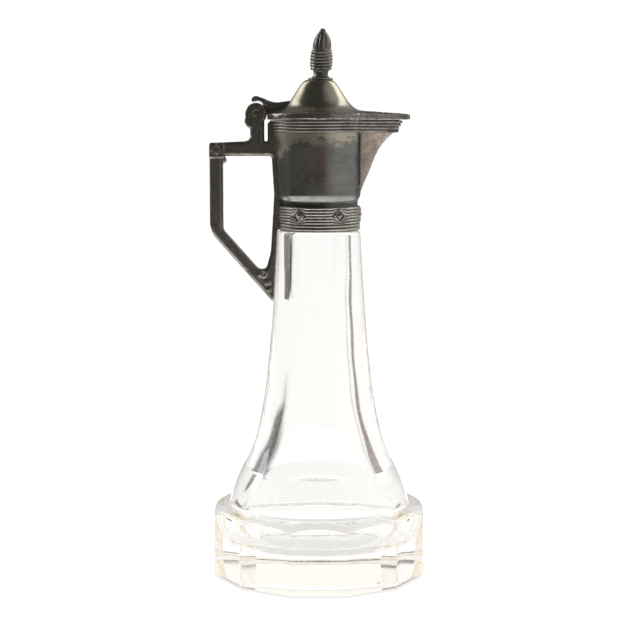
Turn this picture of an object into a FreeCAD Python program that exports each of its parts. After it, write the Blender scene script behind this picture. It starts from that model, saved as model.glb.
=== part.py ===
import FreeCAD, Part
import math
import os

# A small oil jug: a pressed and cut glass bottle with a wide twelve-sided foot, and a
# pewter mount with spout, handle and hinged lid.  Millimetres, +Z up.  The origin is the
# centre of the surface that the foot stands on, the spout points to +X, the handle to -X.

Vector = FreeCAD.Vector
ORIGIN = Vector(0, 0, 0)
UP = Vector(0, 0, 1)
ACROSS = Vector(0, 1, 0)

# --- glass bottle ---------------------------------------------------------------------
FOOT_SIDES = 12
FOOT_WIDTH = 81.6            # across the flats
FOOT_ROUND_FROM = 23.6       # height where the rounded shoulder starts, outside the flats
FOOT_TOP = 28.0              # height where the shoulder meets the body
FOOT_SHOULDER_WIDTH = 5.4    # from the flats in to the body
FOOT_EDGE_ROUND = 2.4        # bottom edge
FOOT_CORNER_ROUND = 0.8      # upright corners
PUNT_EDGE = 7.8              # from the flats in to the hollow under the foot
PUNT_DEPTH = 1.4
BODY_TOP = 134.6             # shoulder that the collar sits on
BODY_TOP_LEDGE = 2.9         # from the neck out to the body
BODY_TOP_ROUND = 1.2
NECK_RADIUS = 13.1           # outside, inside the mount
NECK_LENGTH = 9.4
LIP_ROUND = 0.7
NECK_WALL = 2.2
FLOOR_THICKNESS = 12.5
CAVITY_EDGE = 9.8            # from the flats in to the cavity at its widest, in the foot
CAVITY_WIDEST_RISE = 9.0     # above the floor
GROOVE_DEPTH = 0.6           # keying groove that the plaster fills
GROOVE_WIDTH = 2.5
GROOVE_RISE = 4.4            # above the body's shoulder

# --- mount ----------------------------------------------------------------------------
METAL_WALL = 0.9
PLASTER_GAP = 1.0            # between the neck and the sleeve
SLEEVE_LIFT = 0.2            # sleeve's end above the glass shoulder
CORK_THICKNESS = 1.1
THROAT_THICKNESS = 0.8
THROAT_EASE = 0.1            # ring's hole, outside the bore
BARREL_HEIGHT = 42.2         # sleeve's end to the mouth
BARREL_FLARE = 1.05          # barrel's foot, outside the sleeve
BARREL_FOOT_RISE = 2.7       # height of the flare above the sleeve
BARREL_OPENING = 2.15        # mouth, outside the barrel's foot

COLLAR_LIFT = 0.5            # collar's lower edge above the glass shoulder
COLLAR_THICKNESS = 0.5
PLAIN_RINGS = 2
PLAIN_RING_HEIGHT = 1.25
FINE_REEDS = 6
FINE_REED_HEIGHT = 1.1
REED_PROUD = 0.5
BOSSES = 6
BOSS_HALF_WIDTH = 2.7
BOSS_HALF_HEIGHT = 2.8
BOSS_FRAME = 0.75            # width of the raised frame round each lozenge
BOSS_PROUD = 0.25            # frame's face above the reeds
BOSS_POINT = 0.35            # lozenge's point above its frame

SEAM_INSET = 0.45            # seam plane of the spout, inside the barrel's foot
SPOUT_STATIONS = ((0.0, 13.0), (4.7, 10.8), (7.6, 8.0), (10.7, 6.0),
                  (19.1, 2.9), (25.5, 0.6), (28.0, -0.3))    # below the mouth, proud of it
SPOUT_NOSE = 1.3

RIM_REEDS = 4
RIM_REED_HEIGHT = 1.15
RIM_PROUD = 0.9              # top reed, outside the mouth
RIM_STEP = 0.2               # each lower reed steps in by this
RIM_TIP_PROUD = 1.0          # top reed, past the spout's tip
RIM_TIP_STEP = 0.62
RIM_REED_ROUND = 0.45

# --- handle and hinge -----------------------------------------------------------------
HANDLE_THICKNESS = 7.0
HANDLE_BEVEL = 0.85
GRIP_ROOM = 23.9             # mouth to the outside of the grip
GRIP_WIDTH = 5.0
BAR_TOP_DROP = 8.6           # mouth to the top of the bar
BAR_DEPTH = 5.0
KNEE_DROP = 0.3              # glass shoulder to the outer knee
KNEE_ROUND = 11.0
TIP_DROP = 27.4              # glass shoulder to the handle's lower tip
DIAGONAL_WIDTH = 4.2
STRAP_UPPER = 1.2            # strap's thickness on the barrel
STRAP_LOWER = 2.6            # and on the glass
GLASS_CLEARANCE = 0.25       # strap to glass
BLOCK_SIZE = 5.9             # square block at the grip's upper corner
BLOCK_THICKNESS = 7.8
BLOCK_RELIEF = 0.4

STRAP_TOP = 1.5              # strap outside the mouth, up the barrel's back
STRAP_TOP_DROP = 0.35        # its end, below the mouth

PIVOT_REACH = 6.0            # mouth to pivot
PIVOT_RISE = 2.6             # mouth to pivot
HEAD_RADIUS = 4.1
CALF_RADIUS = 3.3            # swelling of the post under the head, on its outer side
CALF_DROP = 2.6
POST_WIDTH = 5.3
POST_SHIFT = 0.45            # post's middle towards the axis from the pivot
POST_FOOT_ROUND = 2.5
PIN_RADIUS = 1.1
PIN_CLEARANCE = 0.05
PIN_END = 0.3                # each end past the ears
TONGUE_WIDTH = 2.7
SLOT_WIDTH = 3.0
TONGUE_RADIUS = 3.7
HINGE_GAP = 0.3

# --- lid ------------------------------------------------------------------------------
LID_GAP = 0.3                # lid's underside above the rim
LID_OVERHANG = 1.0
LID_TIP_OVERHANG = 2.8
LID_EDGE_HEIGHT = 1.7
LID_WALL = 0.9
LID_NOSE = 1.6
DOME_HEIGHT = 15.1           # lid's underside to the flat top
DOME_TOP_RADIUS = 4.8
DOME_WAIST_RADIUS = 10.7
DOME_WAIST_RISE = 7.7
DOME_FOOT_INSET = 1.6        # from the lid's edge
DOME_FOOT_RISE = 2.6
HOLLOW_INSET = 3.7           # hollow's edge, inside the dome's foot
ROOF_RISE = 3.3              # ridge over the spout, at the dome's foot
ROOF_FALL = 0.075            # fall of the ridge per mm towards the tip
ROOF_PITCH = 0.11            # fall per mm to each side
ARM_THICKNESS = 3.5
ARM_RISE = 4.3               # arm's waist above the pivot
THUMB_WIDTH = 7.2
THUMB_RISE = 6.2             # thumb piece's top above the pivot

# --- finial ---------------------------------------------------------------------------
FINIAL_HEIGHT = 19.6
FINIAL_RADIUS = 4.4
FINIAL_FLANGE_RADIUS = 4.8
FINIAL_FLANGE_HEIGHT = 0.8
FINIAL_NECK_RADIUS = 2.8
FINIAL_NECK_RISE = 3.0       # above the flange's face on the dome
FINIAL_RINGS = 6
FINIAL_RING_HEIGHT = 1.2
FINIAL_RING_DEPTH = 0.4
FINIAL_FLUTES = 8
FLUTE_DEPTH = 0.45
FLUTE_WIDTH = 0.5
FINIAL_OFFSET = 0.6          # its hole is this far off the axis, towards the spout
FINIAL_LEAN = 2.5            # degrees that its neck is bent towards the spout
STUD_RADIUS = 1.5
WASHER_RADIUS = 3.6
WASHER_THICKNESS = 0.8
NUT_WIDTH = 5.5              # across the flats
NUT_HEIGHT = 2.4
STUD_END = 0.8               # stud past the nut

# --- places worked out from the sizes ---------------------------------------------------
FOOT_APOTHEM = FOOT_WIDTH / 2
FOOT_CORNER = FOOT_APOTHEM / math.cos(math.pi / FOOT_SIDES)
PUNT_RADIUS = FOOT_APOTHEM - PUNT_EDGE
CAVITY_RADIUS = FOOT_APOTHEM - CAVITY_EDGE
BODY_TOP_RADIUS = NECK_RADIUS + BODY_TOP_LEDGE
BORE_RADIUS = NECK_RADIUS - NECK_WALL
THROAT_RADIUS = BORE_RADIUS + THROAT_EASE
LIP_Z = BODY_TOP + NECK_LENGTH
SLEEVE_RADIUS = NECK_RADIUS + PLASTER_GAP + METAL_WALL
BARREL_FOOT_RADIUS = SLEEVE_RADIUS + BARREL_FLARE
MOUTH_RADIUS = BARREL_FOOT_RADIUS + BARREL_OPENING
SEAM_X = BARREL_FOOT_RADIUS - SEAM_INSET
SLEEVE_Z = BODY_TOP + SLEEVE_LIFT
CORK_Z = LIP_Z + CORK_THICKNESS
THROAT_Z = CORK_Z + THROAT_THICKNESS
FLARE_Z = THROAT_Z + BARREL_FOOT_RISE
MOUTH_Z = SLEEVE_Z + BARREL_HEIGHT
COLLAR_Z = BODY_TOP + COLLAR_LIFT
COLLAR_HEIGHT = PLAIN_RINGS * PLAIN_RING_HEIGHT + FINE_REEDS * FINE_REED_HEIGHT
COLLAR_RADIUS = SLEEVE_RADIUS + COLLAR_THICKNESS
SPOUT_TIP = MOUTH_RADIUS + SPOUT_STATIONS[0][1]
GRIP_REACH = MOUTH_RADIUS + GRIP_ROOM
BAR_TOP = MOUTH_Z - BAR_TOP_DROP
BAR_UNDER = BAR_TOP - BAR_DEPTH
PIVOT_X = -(MOUTH_RADIUS + PIVOT_REACH)
PIVOT_Z = MOUTH_Z + PIVOT_RISE
LID_Z = MOUTH_Z + LID_GAP
LID_RADIUS = MOUTH_RADIUS + RIM_PROUD + LID_OVERHANG
DOME_FOOT_RADIUS = LID_RADIUS - DOME_FOOT_INSET
HOLLOW_RADIUS = DOME_FOOT_RADIUS - HOLLOW_INSET
LID_TIP = SPOUT_TIP + RIM_TIP_PROUD + LID_TIP_OVERHANG
DOME_Z = LID_Z + DOME_HEIGHT


# --- drawing helpers --------------------------------------------------------------------
def side(x, z):
    """A point in the jug's side plane, which holds the axis, the spout and the handle."""
    return Vector(x, 0, z)


def curve(*points):
    """A Bezier edge with these control points."""
    bezier = Part.BezierCurve()
    bezier.setPoles(list(points))
    return bezier.toShape()


def outline(start, *steps):
    """A closed wire in the side plane.  A step is a point (x, z) for a straight run, a pair
    of points for an arc through the first to the second, or three points for a curve, which
    are its two handles and its end."""
    edges = []
    here = side(*start)
    for step in steps + (start,):
        stops = [side(*point) for point in step] if isinstance(step[0], tuple) else [side(*step)]
        if len(stops) == 3:
            edges.append(curve(here, *stops))
        elif len(stops) == 2:
            edges.append(Part.Arc(here, *stops).toShape())
        elif stops[0].distanceToPoint(here) > 1e-6:
            edges.append(Part.makeLine(here, stops[0]))
        here = stops[-1]
    return Part.Wire(edges)


def turned(start, *steps):
    """The solid that a half outline sweeps as it turns about the jug's axis."""
    return Part.Face(outline(start, *steps)).revolve(ORIGIN, UP, 360)


def rounded(*corners):
    """A closed wire in the side plane through corners (x, z, radius)."""
    stops = []
    for index, (x, z, radius) in enumerate(corners):
        here = side(x, z)
        after = corners[(index + 1) % len(corners)]
        back = (side(*corners[index - 1][:2]) - here).normalize()
        ahead = (side(*after[:2]) - here).normalize()
        half = back.getAngle(ahead) / 2
        middle = here + (back + ahead).normalize() * (radius / math.sin(half) - radius)
        reach = radius / math.tan(half)
        stops.append((here + back * reach, middle, here + ahead * reach, radius))
    edges = []
    for index, (first, middle, last, radius) in enumerate(stops):
        if radius:
            edges.append(Part.Arc(first, middle, last).toShape())
        edges.append(Part.makeLine(last, stops[(index + 1) % len(stops)][0]))
    return Part.Wire(edges)


def slab(wire, thickness):
    """The side-plane wire as a plate of this thickness, centred on the side plane."""
    face = Part.Face(wire)
    face.translate(ACROSS * (-thickness / 2))
    return face.extrude(ACROSS * thickness)


def bevelled(plate, thickness, size):
    """The plate with every edge of its two faces bevelled."""
    edges = [edge for edge in plate.Edges
             if all(abs(abs(vertex.Y) - thickness / 2) < 1e-6 for vertex in edge.Vertexes)]
    return plate.makeChamfer(size, edges)


def drum(x, z, radius, width):
    """A cylinder across the jug, centred on the side plane."""
    return Part.makeCylinder(radius, width, Vector(x, -width / 2, z), ACROSS)


def upright(radius, low, high):
    """A cylinder on the jug's axis."""
    return Part.makeCylinder(radius, high - low, Vector(0, 0, low), UP)


def tube(inner, outer, low, high):
    """A plain ring on the jug's axis."""
    return upright(outer, low, high).cut(upright(inner, low, high))


def joined(shapes):
    """One clean solid made of overlapping ones."""
    return shapes[0].multiFuse(shapes[1:]).removeSplitter()


def spun(shape, angle):
    """A copy of the shape, turned about the jug's axis."""
    copy = shape.copy()
    copy.rotate(ORIGIN, UP, angle)
    return copy


def prism(sides, apothem, low, high):
    """An upright prism with a flat facing +X."""
    corner = apothem / math.cos(math.pi / sides)
    angles = [math.pi * (2 * index + 1) / sides for index in range(sides + 1)]
    points = [Vector(corner * math.cos(a), corner * math.sin(a), low) for a in angles]
    return Part.Face(Part.makePolygon(points)).extrude(UP * (high - low))


def nose_edges(knee, tip, nose):
    """The blunt front of a plan outline: a flank from the knee, an arc of radius nose that
    reaches x = tip, and the mirrored flank back to the other side."""
    centre = Vector(tip - nose, 0, knee.z)
    lean = math.atan2(knee.y, knee.x - centre.x) - math.acos(nose / (knee - centre).Length)
    touch = centre + Vector(math.cos(lean), math.sin(lean), 0) * nose
    far_touch, far_knee = Vector(touch.x, -touch.y, knee.z), Vector(knee.x, -knee.y, knee.z)
    return [Part.makeLine(knee, touch),
            Part.Arc(touch, Vector(tip, 0, knee.z), far_touch).toShape(),
            Part.makeLine(far_touch, far_knee)]


def teardrop(radius, tip, nose, z):
    """A plan outline at height z: a circle whose front is drawn out to a blunt tip.  The
    straight flanks leave the circle at the seam plane."""
    knee = Vector(SEAM_X, math.sqrt(radius ** 2 - SEAM_X ** 2), z)
    far_knee = Vector(knee.x, -knee.y, z)
    back = Part.Arc(far_knee, Vector(-radius, 0, z), knee).toShape()
    return Part.Wire(nose_edges(knee, tip, nose) + [back])


# --- bottle -----------------------------------------------------------------------------
def body_steps(clearance=0.0):
    """The bottle's outer curve from the foot's shoulder up to the collar's seat."""
    foot = FOOT_APOTHEM - FOOT_SHOULDER_WIDTH + clearance
    top = BODY_TOP_RADIUS + clearance
    rise = BODY_TOP - FOOT_TOP
    return ((foot, FOOT_TOP),
            ((foot - 7.6, FOOT_TOP + 0.26 * rise), (top + 5.2, FOOT_TOP + 0.05 * rise),
             (top, BODY_TOP - BODY_TOP_ROUND)))


def glass_skin():
    """The bottle's outside: the turned body, with the foot's flats cut on it."""
    foot, body = body_steps()
    envelope = FOOT_CORNER + 1.0
    skin = turned((0, 0), (envelope, 0), (envelope, FOOT_ROUND_FROM),
                  (FOOT_CORNER + 0.5, FOOT_ROUND_FROM),
                  ((FOOT_CORNER - 0.6, FOOT_ROUND_FROM + 3.2),
                   (foot[0] + 3.6, FOOT_TOP - 0.1), foot),
                  body,
                  ((BODY_TOP_RADIUS, BODY_TOP - 0.4), (BODY_TOP_RADIUS - 0.4, BODY_TOP),
                   (BODY_TOP_RADIUS - BODY_TOP_ROUND, BODY_TOP)),
                  (NECK_RADIUS, BODY_TOP), (NECK_RADIUS, LIP_Z - LIP_ROUND),
                  (NECK_RADIUS - LIP_ROUND, LIP_Z), (0, LIP_Z))
    block = prism(FOOT_SIDES, FOOT_APOTHEM, 0, LIP_Z + 1)
    corners = [edge for edge in block.Edges
               if abs(edge.Vertexes[0].Z - edge.Vertexes[1].Z) > 1]
    block = block.makeFillet(FOOT_CORNER_ROUND, corners)
    bottom = [edge for edge in block.Edges if edge.BoundBox.ZMax < 1e-6]
    return skin.common(block.makeFillet(FOOT_EDGE_ROUND, bottom))


def cavity():
    """The space inside the bottle, up through its mouth."""
    widest = FLOOR_THICKNESS + CAVITY_WIDEST_RISE
    rise = BODY_TOP - widest
    return turned((0, FLOOR_THICKNESS), (CAVITY_RADIUS - CAVITY_WIDEST_RISE, FLOOR_THICKNESS),
                  ((CAVITY_RADIUS - 3.4, FLOOR_THICKNESS), (CAVITY_RADIUS, widest - 4.4),
                   (CAVITY_RADIUS, widest)),
                  ((CAVITY_RADIUS, widest + 6.0), (CAVITY_RADIUS - 3.5, widest + 11.0),
                   (CAVITY_RADIUS - 8.8, widest + 17.5)),
                  ((BORE_RADIUS + 4.6, widest + 0.28 * rise), (BORE_RADIUS - 0.8, widest + 0.38 * rise),
                   (BORE_RADIUS, BODY_TOP)),
                  (BORE_RADIUS, LIP_Z + 1), (0, LIP_Z + 1))


def groove():
    """The ring of plaster that keys into the neck."""
    middle = BODY_TOP + GROOVE_RISE
    return tube(NECK_RADIUS - GROOVE_DEPTH, NECK_RADIUS,
                middle - GROOVE_WIDTH / 2, middle + GROOVE_WIDTH / 2)


def glass_bottle():
    punt = turned((0, -1), (PUNT_RADIUS, -1), (PUNT_RADIUS, 0),
                  ((PUNT_RADIUS - 2, PUNT_DEPTH), (PUNT_RADIUS / 2, PUNT_DEPTH),
                   (0, PUNT_DEPTH)))
    return glass_skin().cut(cavity()).cut(groove()).cut(punt)


# --- mount ------------------------------------------------------------------------------
def plaster_bed():
    return tube(NECK_RADIUS, SLEEVE_RADIUS - METAL_WALL, SLEEVE_Z, LIP_Z).fuse(groove())


def cork_seal():
    return tube(BORE_RADIUS, SLEEVE_RADIUS - METAL_WALL, LIP_Z, CORK_Z)


def throat_ring():
    return tube(THROAT_RADIUS, SLEEVE_RADIUS - METAL_WALL, CORK_Z, THROAT_Z)


def barrel_wall_steps(inset):
    """The barrel's wall above its sleeve, moved in by the inset."""
    sleeve = SLEEVE_RADIUS - inset
    foot = BARREL_FOOT_RADIUS - inset
    mouth = MOUTH_RADIUS - inset
    third = (MOUTH_Z - FLARE_Z) / 3
    return ((sleeve, THROAT_Z),
            ((sleeve, THROAT_Z + 1.1), (foot - 0.3, FLARE_Z - 1.4), (foot, FLARE_Z)),
            ((foot + 0.45, FLARE_Z + third), (mouth - 0.9, MOUTH_Z - third), (mouth, MOUTH_Z)))


def barrel_block(inset=0.0):
    """The barrel as if it were solid; with the wall as inset, the space inside it."""
    sleeve, flare, wall = barrel_wall_steps(inset)
    return turned((0, SLEEVE_Z), (sleeve[0], SLEEVE_Z), sleeve, flare, wall, (0, MOUTH_Z))


def barrel_radius(z):
    """The barrel's outside radius at height z, above its sleeve."""
    sleeve, flare, wall = barrel_wall_steps(0.0)
    edges = [curve(side(*start), *[side(*point) for point in handles])
             for start, handles in ((sleeve, flare), (flare[-1], wall))]
    level = Part.makeLine(side(0, z), side(2 * MOUTH_RADIUS, z))
    return level.distToShape(Part.Wire(edges))[1][0][0].x


def spout_section(drop, proud, inset):
    """The spout's plan outline below the mouth by drop; its tip is proud of the barrel."""
    z = MOUTH_Z - drop
    radius = barrel_radius(z)
    half = math.sqrt(radius ** 2 - SEAM_X ** 2) - 1.1 * inset
    tip = radius + proud - 1.5 * inset
    nose = min(SPOUT_NOSE, half / 3)
    knee = Vector(min(SEAM_X, tip - nose) - inset, half, z)
    back, far_back = Vector(MOUTH_RADIUS / 2, half, z), Vector(MOUTH_RADIUS / 2, -half, z)
    far_knee = Vector(knee.x, -half, z)
    return Part.Wire([Part.makeLine(back, knee)] + nose_edges(knee, tip, nose)
                     + [Part.makeLine(far_knee, far_back), Part.makeLine(far_back, back)])


def spout_block(inset=0.0):
    """The spout as if it were solid, from inside the barrel out to its ridge."""
    sections = [spout_section(drop, proud, inset) for drop, proud in SPOUT_STATIONS]
    return Part.makeLoft(sections, True, False)


def mount_barrel():
    shell = barrel_block().cut(barrel_block(METAL_WALL))
    return shell.cut(spout_block(METAL_WALL))


def spout():
    return spout_block().cut(spout_block(METAL_WALL)).cut(barrel_block())


def rim_moulding():
    reeds = []
    for index in range(RIM_REEDS):
        outline_wire = teardrop(MOUTH_RADIUS + RIM_PROUD - index * RIM_STEP,
                                SPOUT_TIP + RIM_TIP_PROUD - index * RIM_TIP_STEP,
                                SPOUT_NOSE + RIM_PROUD,
                                MOUTH_Z - (index + 1) * RIM_REED_HEIGHT)
        reed = Part.Face(outline_wire).extrude(UP * RIM_REED_HEIGHT)
        edges = [edge for edge in reed.Edges
                 if abs(edge.Vertexes[0].Z - edge.Vertexes[1].Z) < 1e-6]
        reeds.append(reed.makeFillet(RIM_REED_ROUND, edges))
    return joined(reeds).cut(barrel_block()).cut(spout_block())


def ring_band(inner, base, low, heights, proud):
    """A turned band whose face is a row of rounded rings of the given heights."""
    steps = [(base, low)]
    z = low
    for height in heights:
        steps.append(((base + proud, z + height / 2), (base, z + height)))
        z += height
    return turned((inner, low), *steps, (inner, z))


def lozenge(half_width, half_height, low, high, z):
    """A diamond prism that stands on the collar, facing +X."""
    points = [Vector(low, half_width, z), Vector(low, 0, z + half_height),
              Vector(low, -half_width, z), Vector(low, 0, z - half_height)]
    return Part.Face(Part.makePolygon(points + points[:1])).extrude(Vector(high - low, 0, 0))


def boss():
    """One cast lozenge in its raised frame, facing +X."""
    z = COLLAR_Z + PLAIN_RINGS * PLAIN_RING_HEIGHT + FINE_REEDS * FINE_REED_HEIGHT / 2
    face = COLLAR_RADIUS + REED_PROUD + BOSS_PROUD
    inside = (BOSS_HALF_WIDTH - BOSS_FRAME, BOSS_HALF_HEIGHT - BOSS_FRAME)
    plate = lozenge(BOSS_HALF_WIDTH, BOSS_HALF_HEIGHT, SLEEVE_RADIUS - 0.3, face, z)
    plate = plate.cut(lozenge(*inside, face - BOSS_PROUD, face + 1, z))
    base = lozenge(*inside, face - BOSS_PROUD - 0.1, face, z).Faces
    base = min(base, key=lambda part: part.CenterOfMass.x).OuterWire
    point = Part.Vertex(face + BOSS_POINT, 0, z)
    return plate.fuse(Part.makeLoft([base, point], True, True))


def collar_band():
    heights = [PLAIN_RING_HEIGHT] * PLAIN_RINGS + [FINE_REED_HEIGHT] * FINE_REEDS
    band = ring_band(SLEEVE_RADIUS, COLLAR_RADIUS, COLLAR_Z, heights, REED_PROUD)
    bosses = [spun(boss(), 360 * index / BOSSES) for index in range(BOSSES)]
    inside = upright(SLEEVE_RADIUS, SLEEVE_Z - 1, MOUTH_Z)
    return joined([band] + bosses).cut(inside)


# --- handle and hinge -------------------------------------------------------------------
def diagonal(x, width):
    """Height of the handle's slanting limb at x; width 0 is its outer edge."""
    tip_x = -(BODY_TOP_RADIUS + 2.0)
    slope = (TIP_DROP - KNEE_DROP) / (GRIP_REACH + tip_x)
    return BODY_TOP - TIP_DROP + slope * (tip_x - x) + width * math.hypot(1, slope)


def handle_plate():
    """The handle's side view as a bevelled plate, before it is fitted to the jug."""
    post = PIVOT_X + POST_SHIFT
    post_left, post_right = post - POST_WIDTH / 2, post + POST_WIDTH / 2
    middle = -SLEEVE_RADIUS + 2.0
    strap = -(MOUTH_RADIUS + STRAP_TOP)
    tip_x = -(BODY_TOP_RADIUS + 1.6)
    outer = rounded((-GRIP_REACH, BAR_TOP, 0), (post_left, BAR_TOP + 0.7, POST_FOOT_ROUND),
                    (post_left, PIVOT_Z, 0), (post_right, PIVOT_Z, 0),
                    (post_right, BAR_TOP + 0.6, 0.5), (strap, BAR_TOP + 0.6, 0.5),
                    (strap, MOUTH_Z - STRAP_TOP_DROP, 0), (middle, MOUTH_Z - STRAP_TOP_DROP, 0),
                    (middle, diagonal(tip_x, 0), 0), (tip_x, diagonal(tip_x, 0), 0),
                    (-GRIP_REACH, diagonal(-GRIP_REACH, 0), KNEE_ROUND))
    grip_inner = -GRIP_REACH + GRIP_WIDTH
    crotch = -(BODY_TOP_RADIUS + 5.1)
    window = rounded((grip_inner, BAR_UNDER, 0.8),
                     (-(barrel_radius(BAR_UNDER) + STRAP_UPPER), BAR_UNDER, 1.2),
                     (-(BARREL_FOOT_RADIUS + STRAP_UPPER), FLARE_Z, 6.0),
                     (-(BODY_TOP_RADIUS + STRAP_LOWER), BODY_TOP - 8.0, 12.0),
                     (crotch, diagonal(crotch, DIAGONAL_WIDTH), 2.4),
                     (grip_inner, diagonal(grip_inner, DIAGONAL_WIDTH), 2.5))
    plate = slab(outer, HANDLE_THICKNESS).cut(slab(window, HANDLE_THICKNESS))
    return bevelled(plate, HANDLE_THICKNESS, HANDLE_BEVEL)


def corner_block():
    """The square block with a raised lozenge on each face."""
    x = -GRIP_REACH + BLOCK_SIZE / 2 - 0.1
    z = BAR_TOP - BLOCK_SIZE / 2 + 0.1
    half = BLOCK_SIZE / 2
    square = rounded((x - half, z - half, 0), (x - half, z + half, 0),
                     (x + half, z + half, 0), (x + half, z - half, 0))
    relief = rounded((x - half + 0.9, z, 0), (x, z + half - 0.9, 0),
                     (x + half - 0.9, z, 0), (x, z - half + 0.9, 0))
    thick = BLOCK_THICKNESS + 2 * BLOCK_RELIEF
    block = bevelled(slab(square, BLOCK_THICKNESS), BLOCK_THICKNESS, 0.4)
    return block.fuse(bevelled(slab(relief, thick), thick, BLOCK_RELIEF))


def handle():
    head = bevelled(drum(PIVOT_X, PIVOT_Z, HEAD_RADIUS, HANDLE_THICKNESS),
                    HANDLE_THICKNESS, 0.5)
    calf = bevelled(drum(PIVOT_X - HEAD_RADIUS + CALF_RADIUS - 0.2, PIVOT_Z - CALF_DROP,
                         CALF_RADIUS, HANDLE_THICKNESS), HANDLE_THICKNESS, 0.5)
    shape = joined([handle_plate(), head, calf, corner_block()])
    slot = drum(PIVOT_X, PIVOT_Z, HEAD_RADIUS + HINGE_GAP, SLOT_WIDTH)
    foot, body = body_steps(GLASS_CLEARANCE)
    glass = turned((0, FOOT_TOP), foot, body,
                   (BODY_TOP_RADIUS + GLASS_CLEARANCE, COLLAR_Z), (0, COLLAR_Z))
    for seat in (slot, drum(PIVOT_X, PIVOT_Z, PIN_RADIUS, 2 * HANDLE_THICKNESS),
                 glass, barrel_block(), rim_moulding(), collar_block()):
        shape = shape.cut(seat)
    return shape


def collar_block():
    """The collar with its middle filled in, for the strap to be fitted to."""
    return joined([collar_band(), upright(SLEEVE_RADIUS, COLLAR_Z, COLLAR_Z + COLLAR_HEIGHT)])


def hinge_pin():
    length = HANDLE_THICKNESS + 2 * PIN_END
    pin = drum(PIVOT_X, PIVOT_Z, PIN_RADIUS, length)
    ends = [edge for edge in pin.Edges if edge.BoundBox.YLength < 1e-6]
    return pin.makeChamfer(PIN_END * 0.8, ends)


# --- lid --------------------------------------------------------------------------------
def dome_steps(inset):
    """The dome's outline from its flat top down to its foot, moved in by the inset."""
    top = (DOME_TOP_RADIUS - inset / 2, DOME_Z - inset)
    waist = (DOME_WAIST_RADIUS - 0.8 * inset, LID_Z + DOME_WAIST_RISE - 0.6 * inset)
    foot = (DOME_FOOT_RADIUS - inset, LID_Z + DOME_FOOT_RISE - inset)
    return (top, ((top[0] + 1.9, top[1] - 0.4), (waist[0] - 2.6, waist[1] + 3.8), waist),
            ((waist[0] + 1.7, waist[1] - 2.5), (foot[0] - 3.9, foot[1] + 0.9), foot))


def lid_block():
    """The lid as if it were solid."""
    top, shoulder, flare = dome_steps(0.0)
    edge_z = LID_Z + LID_EDGE_HEIGHT
    bell = turned((0, DOME_Z), top, shoulder, flare, (LID_RADIUS + 1, edge_z),
                  (LID_RADIUS + 1, LID_Z), (0, LID_Z))
    start, end = DOME_FOOT_RADIUS - 5, LID_TIP + 1
    sections = []
    for x in (start, end):
        ridge = LID_Z + ROOF_RISE - ROOF_FALL * (x - DOME_FOOT_RADIUS)
        sections.append(Part.makePolygon([
            Vector(x, -LID_RADIUS, LID_Z), Vector(x, -LID_RADIUS, ridge - ROOF_PITCH * LID_RADIUS),
            Vector(x, 0, ridge), Vector(x, LID_RADIUS, ridge - ROOF_PITCH * LID_RADIUS),
            Vector(x, LID_RADIUS, LID_Z), Vector(x, -LID_RADIUS, LID_Z)]))
    roof = Part.makeLoft(sections, True, True)
    plan = Part.Face(teardrop(LID_RADIUS, LID_TIP, LID_NOSE, LID_Z)).extrude(UP * DOME_HEIGHT)
    return bell.fuse(roof).common(plan).removeSplitter()


def lid_shell():
    top, shoulder, flare = dome_steps(LID_WALL)
    hollow = turned((0, top[1]), top, shoulder,
                    ((flare[0][0] - 0.2, flare[0][1] - 0.3), (HOLLOW_RADIUS - 0.8, LID_Z + 1.5),
                     (HOLLOW_RADIUS, LID_Z)), (0, LID_Z))
    clear = drum(PIVOT_X, PIVOT_Z, HEAD_RADIUS + HINGE_GAP, HANDLE_THICKNESS + 2 * HINGE_GAP)
    stud = offset_to_hole(upright(STUD_RADIUS, LID_Z, DOME_Z))
    return lid_block().cut(hollow).cut(clear).cut(stud)


def arm_outline(inner):
    """The arm's side view; inner is where it runs into the dome."""
    x, z = PIVOT_X, PIVOT_Z
    return outline((x - 1.5, z + 4.5),
                   ((x - 2.1, z + 6.2), (x - 0.4, z + 7.4), (x + 1.6, z + THUMB_RISE)),
                   ((x + 3.6, z + 6.0), (x + 5.0, z + ARM_RISE), (x + 8.0, z + ARM_RISE)),
                   ((x + 9.8, z + ARM_RISE), (x + 11.0, z + ARM_RISE + 0.6), (inner, z + 5.6)),
                   (inner, LID_Z + 1.0), (x + 4.4, LID_Z + 1.0),
                   (x + 3.2, z - 0.5), (x + 2.6, z + 4.0), (x + 1.0, z + 4.9))


def lid_arm():
    """The cast arm: a tongue between the ears, a web on the lid, and the thumb piece."""
    wire = arm_outline(-DOME_TOP_RADIUS)
    clear = drum(PIVOT_X, PIVOT_Z, HEAD_RADIUS + HINGE_GAP, 4 * HANDLE_THICKNESS)
    web = slab(wire, ARM_THICKNESS).cut(clear)
    tongue = drum(PIVOT_X, PIVOT_Z, TONGUE_RADIUS, TONGUE_WIDTH).fuse(slab(wire, TONGUE_WIDTH))
    thumb_zone = Part.makeBox(PIVOT_REACH + 1.2, THUMB_WIDTH, THUMB_RISE + 3,
                              Vector(PIVOT_X - 3, -THUMB_WIDTH / 2, PIVOT_Z + 3))
    thumb = slab(wire, THUMB_WIDTH).common(thumb_zone).cut(clear)
    arm = joined([web, tongue, thumb]).cut(lid_block())
    return arm.cut(drum(PIVOT_X, PIVOT_Z, PIN_RADIUS + PIN_CLEARANCE, HANDLE_THICKNESS))


# --- finial -----------------------------------------------------------------------------
def offset_to_hole(shape):
    """The shape, moved from the axis to the finial's hole."""
    shape.translate(Vector(FINIAL_OFFSET, 0, 0))
    return shape


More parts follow.
